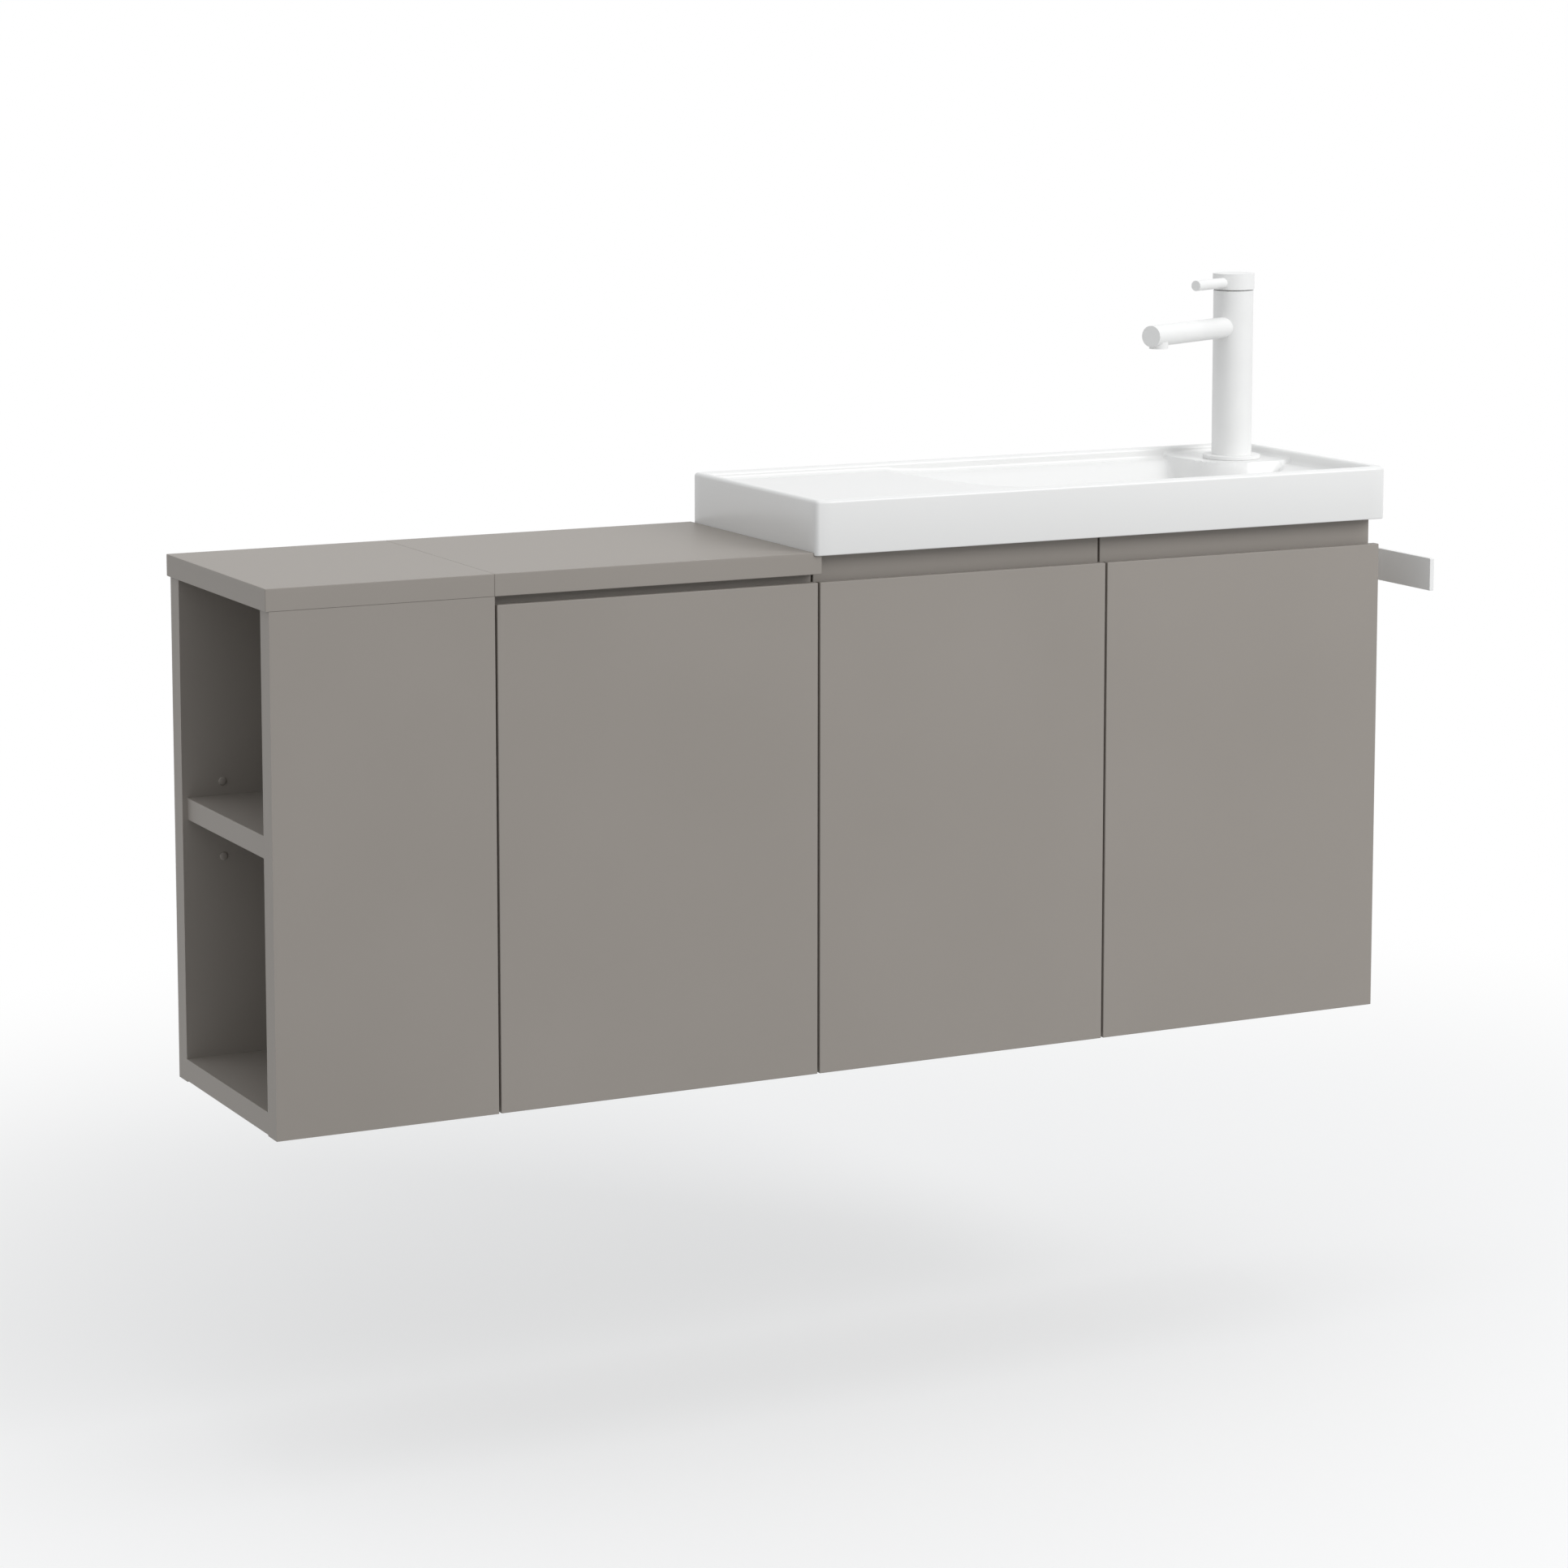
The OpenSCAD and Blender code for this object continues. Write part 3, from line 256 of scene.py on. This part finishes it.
def two_tones(nodes, links, noise, dark, light, low=0.35, high=0.65):
    """A colour ramp from dark to light over the noise's low to high values."""
    ramp = nodes.new("ShaderNodeValToRGB")
    ramp.color_ramp.elements[0].position = low
    ramp.color_ramp.elements[0].color = (*dark, 1.0)
    ramp.color_ramp.elements[1].position = high
    ramp.color_ramp.elements[1].color = (*light, 1.0)
    links.new(noise.outputs["Fac"], ramp.inputs["Fac"])
    return ramp


def between(nodes, links, noise, low, high):
    """The noise's value mapped from 0..1 to low..high."""
    span = nodes.new("ShaderNodeMapRange")
    span.inputs["To Min"].default_value = low
    span.inputs["To Max"].default_value = high
    links.new(noise.outputs["Fac"], span.inputs["Value"])
    return span


def raised(nodes, links, noise, strength, distance):
    """A bump whose height is the noise."""
    bump = nodes.new("ShaderNodeBump")
    bump.inputs["Strength"].default_value = strength
    bump.inputs["Distance"].default_value = distance
    links.new(noise.outputs["Fac"], bump.inputs["Height"])
    return bump


def finish(links, shader, tone, gloss, relief):
    """Leads a colour ramp, a mapped gloss and a bump into the shader."""
    links.new(tone.outputs["Color"], shader.inputs["Base Color"])
    links.new(gloss.outputs["Result"], shader.inputs["Roughness"])
    links.new(relief.outputs["Normal"], shader.inputs["Normal"])


def make_lacquer():
    """Lacquer colour drifting by a few parts in a hundred over 0.3 m, with orange peel as a fine bump."""
    material, nodes, links, shader = new_finish("taupe_lacquer")
    shader.inputs["Specular IOR Level"].default_value = 0.32
    drift = fine_grain(nodes, links, 3.4, 4.0)
    peel = fine_grain(nodes, links, 520.0, 2.0)
    tone = two_tones(nodes, links, drift, LACQUER_DEEP, LACQUER_PALE, 0.32, 0.68)
    gloss = between(nodes, links, drift, 0.44, 0.54)
    finish(links, shader, tone, gloss, raised(nodes, links, peel, 0.05, 0.0004))
    return material


def paint(names, material):
    """Gives each named CAD node the material in all its slots."""
    for name in names:
        mesh = NODES[name].data
        mesh.materials.clear()
        mesh.materials.append(material)


def soften(names, width):
    """Joins each node's loose triangles and rounds its edges sharper than ROUND_FROM by width."""
    for name in names:
        piece = NODES[name]
        weld = piece.modifiers.new("join", "WELD")
        weld.merge_threshold = JOIN_WITHIN
        edges = piece.modifiers.new("round", "BEVEL")
        edges.width = width
        edges.segments = ROUND_STEPS
        edges.limit_method = "ANGLE"
        edges.angle_limit = ROUND_FROM
        shade = piece.modifiers.new("shade", "WEIGHTED_NORMAL")
        shade.keep_sharp = True
        piece.data.shade_smooth()


lacquer = make_lacquer()
paint(nodes_of("lacquer"), lacquer)
soften([name for name in nodes_of("lacquer") if name != "niche_hole_caps"], EDGE_ROUND)

# Small domed covers close the spare shelf-pin holes in the niche, above and below the shelf.
# Each is moulded in the boards' colour, and its stem is pressed into the hole.
COVER_RADIUS = 0.005
COVER_EDGE = 0.0006
COVER_RISE = 0.0020
COVER_STEM = (0.0025, 0.0070)
COVER_SIDES = 32
COVER_RINGS = 9
CREASE = math.radians(40.0)


def make_covers():
    """Eight turned covers: a profile of (radius, height) carried round, on both inner faces of the niche.

    Over the edge the height is COVER_EDGE + (COVER_RISE - COVER_EDGE) sqrt(1 - (r / COVER_RADIUS)^2).
    """
    low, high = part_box("niche_hole_caps")
    turn = np.linspace(math.pi / 2, 0.0, COVER_RINGS)
    rise = COVER_EDGE + (COVER_RISE - COVER_EDGE) * np.cos(turn)
    dome = np.stack([COVER_RADIUS * np.sin(turn), rise], axis=1)
    stem, depth = COVER_STEM
    profile = np.concatenate([[[0.0, -depth], [stem, -depth], [stem, 0.0], [COVER_RADIUS, 0.0]], dome])
    around = np.linspace(0.0, 2 * math.pi, COVER_SIDES, endpoint=False)
    ring = np.stack([np.cos(around), np.sin(around)], axis=1)
    inner = profile[1:-1]
    points, faces = [], []
    for face_y, way in ((low.y + depth, 1.0), (high.y - depth, -1.0)):
        for x in (low.x + COVER_RADIUS, high.x - COVER_RADIUS):
            for z in (low.z + COVER_RADIUS, high.z - COVER_RADIUS):
                start = sum(len(group) for group in points)
                body = np.empty((len(inner), COVER_SIDES, 3))
                body[..., 0] = x + inner[:, :1] * ring[:, 0] * way
                body[..., 1] = face_y + way * inner[:, 1:2]
                body[..., 2] = z - inner[:, :1] * ring[:, 1]
                tips = np.array([[x, face_y - way * depth, z], [x, face_y + way * COVER_RISE, z]])
                points += [tips, body.reshape(-1, 3)]
                number = start + 2 + np.arange(len(inner) * COVER_SIDES).reshape(len(inner), COVER_SIDES)
                beside = np.roll(number, -1, axis=1)
                sides = np.stack([number[:-1], beside[:-1], beside[1:], number[1:]], axis=-1)
                faces += sides.reshape(-1, 4).tolist()
                under, over = np.full(COVER_SIDES, start), np.full(COVER_SIDES, start + 1)
                faces += np.stack([under, beside[0], number[0]], axis=-1).tolist()
                faces += np.stack([over, number[-1], beside[-1]], axis=-1).tolist()
    mesh = bpy.data.meshes.new("hole_covers")
    mesh.from_pydata(np.concatenate(points).tolist(), [], faces)
    mesh.shade_smooth()
    mesh.set_sharp_from_angle(angle=CREASE)
    covers = bpy.data.objects.new("hole_covers", mesh)
    bpy.context.collection.objects.link(covers)
    return covers


hole_covers = make_covers()
hole_covers.data.materials.append(lacquer)
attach(hole_covers, "cabinet")
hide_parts("niche_hole_caps")

# Beech dowels pin the boards' corners together, and are pressed in dry or with glue.
# Their grain runs along the dowel, with the short dark flecks that beech shows.
BEECH = (0.53, 0.33, 0.17)
BEECH_DARK = (0.38, 0.21, 0.10)


def make_beech():
    """Beech drawn out along X, with flecks as the grain's darker tone and as a slight bump."""
    material, nodes, links, shader = new_finish("bare_beech")
    fleck = fine_grain(nodes, links, 900.0, stretch=(9.0, 1.0, 1.0))
    tone = two_tones(nodes, links, fleck, BEECH_DARK, BEECH)
    gloss = between(nodes, links, fleck, 0.70, 0.58)
    finish(links, shader, tone, gloss, raised(nodes, links, fleck, 0.25, 0.0002))
    return material


paint(nodes_of("dowel_wood"), make_beech())

# Screws, bolts, shelf pins, hooks and wall plates are zinc plated steel, pressed or turned.
# The hinges' cups, arms and pins are nickel plated, which is brighter and smoother.
ZINC = (0.52, 0.54, 0.55)
NICKEL = (0.64, 0.62, 0.58)
PLATE_EDGE = 0.0003
HINGES = [name for name in nodes_of("steel") if "hinge" in name]
WASTE = [name for name in nodes_of("steel") if "waste" in name]
FIXINGS = [name for name in nodes_of("steel") if name not in HINGES + WASTE and not name.startswith("tap_")]


def make_plate(name, colour, grain, low, high):
    """Plated metal: spangle of the given grain in the colour and the gloss, and a faint bump."""
    material, nodes, links, shader = new_finish(name)
    shader.inputs["Metallic"].default_value = 1.0
    spangle = fine_grain(nodes, links, grain)
    tone = two_tones(nodes, links, spangle, tuple(value * 0.86 for value in colour), colour)
    gloss = between(nodes, links, spangle, low, high)
    finish(links, shader, tone, gloss, raised(nodes, links, spangle, 0.08, 0.0002))
    return material


paint(FIXINGS, make_plate("zinc_plate", ZINC, 160.0, 0.30, 0.48))
paint(HINGES, make_plate("nickel_plate", NICKEL, 240.0, 0.16, 0.28))
soften(["hanger_hooks", "wall_plates", "niche_keyhole_plates", *HINGES], PLATE_EDGE)

# Small clear rubber discs on the boards' front edges quiet the doors.
# They are moulded in sheets and stuck on by hand.
BUMPER = (0.72, 0.73, 0.72)
BUMPER_EDGE = 0.0005


def make_bumper():
    """Cloudy clear rubber: mostly see-through, with a cloud of slow noise in its tone and its gloss."""
    material, nodes, links, shader = new_finish("clear_rubber")
    shader.inputs["Transmission Weight"].default_value = 0.55
    shader.inputs["IOR"].default_value = 1.42
    cloud = fine_grain(nodes, links, 420.0)
    tone = two_tones(nodes, links, cloud, tuple(value * 0.9 for value in BUMPER), BUMPER)
    gloss = between(nodes, links, cloud, 0.28, 0.42)
    finish(links, shader, tone, gloss, raised(nodes, links, cloud, 0.1, 0.0002))
    return material


paint(nodes_of("clear_rubber"), make_bumper())
soften(nodes_of("clear_rubber"), BUMPER_EDGE)

# The basin is one casting of white china: an upright rim, a flat tray at its left, and a bowl scooped out
# before the tap, which stands on a level pad. Slip casting leaves soft edges, and a clear glaze covers it.
BASIN_SKIRT = 0.066
RIM = 0.013
FOOT = 0.005
EDGE = 0.0045
CORNER = 0.002
FLOOR_CORNER = 0.003
SKIRT_FOOT = 0.0015
SKIRT_CORNER = 0.005
TRAY_DEPTH = 0.010
TRAY_LENGTH = 0.269
TRAY_FALL = 0.005
FALL_RUN = 0.075
BOWL_DEPTH = 0.075
BOWL_RADIUS = 0.268
BOWL_PLACE = (0.539, 0.315)
BOWL_FLAT = 0.64
BOWL_BACK = 0.097
DISH_POWER = 2.2
BACK_ROUND = 0.010
BOWL_EDGE_ROUND = 0.008
FALL_PAD_ROUND = 0.003
FALL_EDGE_ROUND = 0.001
UNDER_ROUND = 0.003
PAD_RADIUS = 0.058
PAD_RUN = 0.026
PAD_STEEPNESS = 3.6
PAD_ROUND = 0.020
PAD_JOIN = 0.006
TAP_HOLE = 0.0175
WASTE_HOLE = 0.023
CHINA = 0.010
SKIRT_WALL = 0.012
CORNER_CELLS = 4
CELL = 0.0028
basin_low, basin_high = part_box("basin")
basin_size = (basin_high.x - basin_low.x, basin_high.y - basin_low.y)


def middle_of(node):
    """Middle of a CAD node's box in plan, measured from the basin's left front corner."""
    low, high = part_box(node)
    return (low.x + high.x) / 2 - basin_low.x, (low.y + high.y) / 2 - basin_low.y


tap_place = middle_of("tap_body")
waste_place = middle_of("waste_body")


def soft_low(a, b, band):
    """The lesser of a and b, lowered by (band - |a - b|)^2 / 4 band where they differ by less than band."""
    near = np.maximum(band - np.abs(a - b), 0.0)
    return np.minimum(a, b) - near * near / (4.0 * band)


def soft_high(a, b, band):
    """The greater of a and b, rounded the same way."""
    return -soft_low(-a, -b, band)


def basin_depth(x, y):
    """Depth of the basin's floor below its rim's top.

    The bowl is the lesser of a turned dish, whose depth falls off as 1 - t^DISH_POWER towards its edge,
    and a straight slope up to the back wall. A steep wall round the tap's pad limits both: the pad is a
    disc drawn out to the right by PAD_RUN, joined to the deck behind it. Right of the tray's straight edge
    the floor falls as 1 - (1 - run)^2, where run goes from 0 to 1 over FALL_RUN, and stays level from there.
    """
    from_middle = np.hypot(x - BOWL_PLACE[0], y - BOWL_PLACE[1]) / BOWL_RADIUS
    turned = (from_middle - BOWL_FLAT) / (1.0 - BOWL_FLAT)
    dish = BOWL_DEPTH * (1.0 - np.clip(turned, 0.0, None) ** DISH_POWER)
    slope = BOWL_DEPTH * (BOWL_PLACE[1] - y) / BOWL_BACK
    left, front = tap_place[0] - PAD_RADIUS - x, tap_place[1] - y
    outside = np.hypot(np.maximum(left, 0.0), np.maximum(front, 0.0))
    block = outside + np.minimum(np.maximum(left, front), 0.0)
    across = x - np.clip(x, tap_place[0], tap_place[0] + PAD_RUN)
    pad = soft_low(np.hypot(across, y - tap_place[1]) - PAD_RADIUS, block, PAD_JOIN) * PAD_STEEPNESS
    bowl = soft_low(soft_low(dish, slope, BACK_ROUND), pad, PAD_ROUND)
    run = np.clip((x - TRAY_LENGTH) / FALL_RUN, 0.0, 1.0)
    fall = TRAY_FALL * (1.0 - (1.0 - run) ** 2)
    fall = soft_high(soft_low(fall, pad, FALL_PAD_ROUND), 0.0, FALL_EDGE_ROUND)
    return TRAY_DEPTH + soft_high(bowl, fall, BOWL_EDGE_ROUND)


def side_lines(length, inset, radius):
    """Grid lines along one side: even steps of about CELL, and CORNER_CELLS steps in each corner round."""
    first = inset + radius * np.linspace(0.0, 1.0, CORNER_CELLS + 1)
    steps = int(round((length - 2 * inset - 2 * radius) / CELL))
    middle = np.linspace(inset + radius, length - inset - radius, steps + 1)[1:-1]
    return np.concatenate([first, middle, length - first[::-1]])


def corner_shares(count):
    """-1 to 0 through the first corner's cells, 0 along the side, and 0 to 1 through the last corner's."""
    ramp = np.linspace(-1.0, 0.0, CORNER_CELLS + 1)
    return np.concatenate([ramp, np.zeros(count - 2 * CORNER_CELLS - 2), -ramp[::-1]])


def rounded_plan(a, b, x, y, inset, radius):
    """Plan places on a rectangle with round corners, set in by inset.

    Corner shares a and b turn a corner's square into a quarter disc, with a sqrt(1 - b^2/2) across and
    b sqrt(1 - a^2/2) along, and points between the corners keep their own x or y.
    """
    wide, deep = basin_size
    over_x = radius * a * np.sqrt(1.0 - b * b / 2.0)
    over_y = radius * b * np.sqrt(1.0 - a * a / 2.0)
    near, far_x, far_y = inset + radius, wide - inset - radius, deep - inset - radius
    px = np.where(a < 0, near, np.where(a > 0, far_x, np.clip(x, near, far_x)))
    py = np.where(b < 0, near, np.where(b > 0, far_y, np.clip(y, near, far_y)))
    return px + over_x, py + over_y


def grid_cells(first, rows, columns):
    """Four corner numbers of each cell of a grid whose numbers start at first and run along its rows."""
    number = first + np.arange(rows * columns).reshape(rows, columns)
    cells = np.stack([number[:-1, :-1], number[:-1, 1:], number[1:, 1:], number[1:, :-1]], axis=-1)
    return cells.reshape(-1, 4)


def open_holes(x, y, cells, holes):
    """Drops the cells that touch a round hole and draws the vertices round the gap in to the hole's edge."""
    keep = np.ones(len(cells), bool)
    for (hole_x, hole_y), radius in holes:
        off = np.hypot(x - hole_x, y - hole_y)
        dropped = (off[cells] < radius).any(axis=1)
        rim = np.intersect1d(cells[dropped], cells[~dropped])
        x[rim] = hole_x + (x[rim] - hole_x) * radius / off[rim]
        y[rim] = hole_y + (y[rim] - hole_y) * radius / off[rim]
        keep &= ~dropped
    return keep


def basin_profile(floor):
    """Rings (inset, corner radius, height) from the floor's edge up the wall, over the rim, down and under.

    Each round is a quarter turn q: its rise goes as 1 - cos q, and its run as sin q.
    """
    inset, radius = RIM + FOOT, FLOOR_CORNER + FOOT
    turn = np.linspace(0.0, math.pi / 2, 6)
    rise, run = 1 - np.cos(turn), np.sin(turn)
    foot_turn = np.linspace(0.0, math.pi / 2, 4)
    foot_rise, foot_run = 1 - np.cos(foot_turn), np.sin(foot_turn)
    under = -(TRAY_DEPTH + TRAY_FALL + CHINA)
    rings = [(inset - FOOT * s, FLOOR_CORNER + FOOT * s, floor + FOOT * c) for c, s in zip(rise[1:], run[1:])]
    rings += [(RIM - EDGE * c, radius + EDGE * c, -EDGE * (1 - s)) for c, s in zip(rise, run)]
    rings += [(EDGE * (1 - s), CORNER + EDGE * s, -EDGE * c) for c, s in zip(rise, run)]
    rings += [(SKIRT_FOOT * c, CORNER + EDGE - SKIRT_FOOT * c, -BASIN_SKIRT + SKIRT_FOOT * (1 - s))
              for c, s in zip(foot_rise, foot_run)]
    return rings + [(SKIRT_WALL, SKIRT_CORNER, -BASIN_SKIRT), (SKIRT_WALL, SKIRT_CORNER, under)]


def make_basin():
    """One closed shell: a grid for the floor, rings of the profile round its edge, and a grid underneath.

    The lower grid lies CHINA below the floor. The walls of the two holes join the free edges of both grids.
    """
    inset, radius = RIM + FOOT, FLOOR_CORNER
    line_x, line_y = side_lines(basin_size[0], inset, radius), side_lines(basin_size[1], inset, radius)
    share_x, share_y = corner_shares(len(line_x)), corner_shares(len(line_y))
    rows, columns = len(line_y), len(line_x)
    a, b = np.meshgrid(share_x, share_y)
    x, y = rounded_plan(a, b, *np.meshgrid(line_x, line_y), inset, radius)
    x, y = x.ravel(), y.ravel()
    cells = grid_cells(0, rows, columns)
    keep = open_holes(x, y, cells, [(tap_place, TAP_HOLE), (waste_place, WASTE_HOLE)])
    cells = cells[keep]
    depth = basin_depth(x, y)
    level = np.full_like(depth, TRAY_DEPTH + TRAY_FALL + CHINA)
    under = soft_high(depth + CHINA, level, UNDER_ROUND)
    top = np.stack([x, y, -depth], axis=1)
    bottom = np.stack([x, y, -under], axis=1)

    number = np.arange(rows * columns).reshape(rows, columns)
    loop = np.concatenate([number[0, :-1], number[:-1, -1], number[-1, :0:-1], number[:0:-1, 0]])
    loop_a, loop_b = a.ravel()[loop], b.ravel()[loop]
    floor = -depth[loop]
    points, faces, last = [top], [cells], loop
    start = len(top)
    for ring_inset, ring_radius, height in basin_profile(floor):
        ring_x, ring_y = rounded_plan(loop_a, loop_b, x[loop], y[loop], ring_inset, ring_radius)
        points.append(np.stack([ring_x, ring_y, np.broadcast_to(height, ring_x.shape)], axis=1))
        ring = start + np.arange(len(loop))
        faces.append(np.stack([last, ring, np.roll(ring, -1), np.roll(last, -1)], axis=1))
        start, last = start + len(loop), ring
    below = loop + start
    faces.append(np.stack([last, below, np.roll(below, -1), np.roll(last, -1)], axis=1))
    points.append(bottom)
    faces.append(cells[:, ::-1] + start)

    ways = np.stack([cells, np.roll(cells, -1, axis=1)], axis=-1).reshape(-1, 2)
    count = len(top)
    free = ~np.isin(ways[:, 0] * count + ways[:, 1], ways[:, 1] * count + ways[:, 0])
    edge = np.isin(ways, loop).all(axis=1)
    hole = ways[free & ~edge]
    faces.append(np.stack([hole[:, 1], hole[:, 0], hole[:, 0] + start, hole[:, 1] + start], axis=1))

    points = np.concatenate(points) + np.array([basin_low.x, basin_low.y, basin_high.z])
    faces = np.concatenate(faces)
    used, faces = np.unique(faces, return_inverse=True)
    mesh = bpy.data.meshes.new("china_basin")
    mesh.from_pydata(points[used].tolist(), [], faces.reshape(-1, 4).tolist())
    mesh.shade_smooth()
    mesh.set_sharp_from_angle(angle=CREASE)
    basin = bpy.data.objects.new("china_basin", mesh)
    bpy.context.collection.objects.link(basin)
    return basin


GLAZE_THIN = (0.816, 0.815, 0.806)
GLAZE_POOLED = (0.828, 0.828, 0.820)


def make_glaze():
    """White glaze: a pale warm drift over 0.3 m, a gloss that drifts with it, and a very slight ripple."""
    material, nodes, links, shader = new_finish("white_glaze")
    shader.inputs["IOR"].default_value = 1.5
    pool = fine_grain(nodes, links, 3.5, 0.0)
    ripple = fine_grain(nodes, links, 34.0, 0.0)
    tone = two_tones(nodes, links, pool, GLAZE_THIN, GLAZE_POOLED, 0.2, 0.8)
    tone.color_ramp.interpolation = "EASE"
    gloss = between(nodes, links, pool, 0.28, 0.31)
    finish(links, shader, tone, gloss, raised(nodes, links, ripple, 0.04, 0.0005))
    return material


china_basin = make_basin()
china_basin.data.materials.append(make_glaze())
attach(china_basin, "cabinet")
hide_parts("basin")

# The waste is a chromed flange, barrel and push-down plug, clamped through the bowl's floor by its nut.
# The bottle trap under it is injection moulded in white plastic and screws together by hand.
CHROME = (0.74, 0.75, 0.76)
TRAP_WHITE = (0.78, 0.78, 0.765)
TRAP_EDGE = 0.0008


def make_moulded():
    """Moulded white plastic: a slow drift in tone and gloss, with the mould's fine texture as a bump."""
    material, nodes, links, shader = new_finish("white_plastic")
    drift = fine_grain(nodes, links, 22.0)
    texture = fine_grain(nodes, links, 1500.0)
    tone = two_tones(nodes, links, drift, tuple(value * 0.95 for value in TRAP_WHITE), TRAP_WHITE)
    gloss = between(nodes, links, drift, 0.30, 0.42)
    finish(links, shader, tone, gloss, raised(nodes, links, texture, 0.12, 0.0002))
    return material


paint(WASTE, make_plate("bright_chrome", CHROME, 60.0, 0.06, 0.12))
paint(nodes_of("white_plastic"), make_moulded())
soften(["waste_plug", "trap_cup", "trap_wall_collar"], TRAP_EDGE)

# The tap is turned brass under a baked white powder coat: base ring, straight body, plain round spout,
# and a cap that turns with its rod lever. The coat rounds every edge and has a very fine grain.
COAT = (0.870, 0.870, 0.862)
TAP_EDGE = 0.0008
COPPER = (0.62, 0.36, 0.22)
BRASS = (0.66, 0.54, 0.32)
COATED_TAP = [name for name in nodes_of("white_metal") if name.startswith("tap_")]


def make_coat():
    """Powder coat: the white drifting slightly over 50 mm, and the coat's fine grain as gloss and bump."""
    material, nodes, links, shader = new_finish("white_powder_coat")
    shader.inputs["Specular IOR Level"].default_value = 0.45
    drift = fine_grain(nodes, links, 18.0)
    grain = fine_grain(nodes, links, 1800.0, 2.0)
    tone = two_tones(nodes, links, drift, tuple(value * 0.975 for value in COAT), COAT)
    gloss = between(nodes, links, grain, 0.40, 0.52)
    finish(links, shader, tone, gloss, raised(nodes, links, grain, 0.10, 0.0002))
    return material


def make_copper():
    """Drawn copper tube with fine marks along its length (Z) and a slow brown tarnish."""
    material, nodes, links, shader = new_finish("drawn_copper")
    shader.inputs["Metallic"].default_value = 1.0
    marks = fine_grain(nodes, links, 2500.0, stretch=(1.0, 1.0, 30.0))
    tarnish = fine_grain(nodes, links, 90.0)
    tone = two_tones(nodes, links, tarnish, tuple(value * 0.78 for value in COPPER), COPPER)
    gloss = between(nodes, links, marks, 0.22, 0.38)
    finish(links, shader, tone, gloss, raised(nodes, links, marks, 0.10, 0.0001))
    return material


powder_coat = make_coat()
paint(COATED_TAP, powder_coat)
paint(nodes_of("tail_metal"), make_copper())
paint(["tap_stem", "tap_shank_nut"], make_plate("turned_brass", BRASS, 320.0, 0.24, 0.36))
soften(COATED_TAP, TAP_EDGE)

# The towel rail is a flat steel bar bent into a long hook and screwed to the right side.
# It has the tap's powder coat.
RAIL_EDGE = 0.0009
paint(["towel_rail"], powder_coat)
soften(["towel_rail"], RAIL_EDGE)
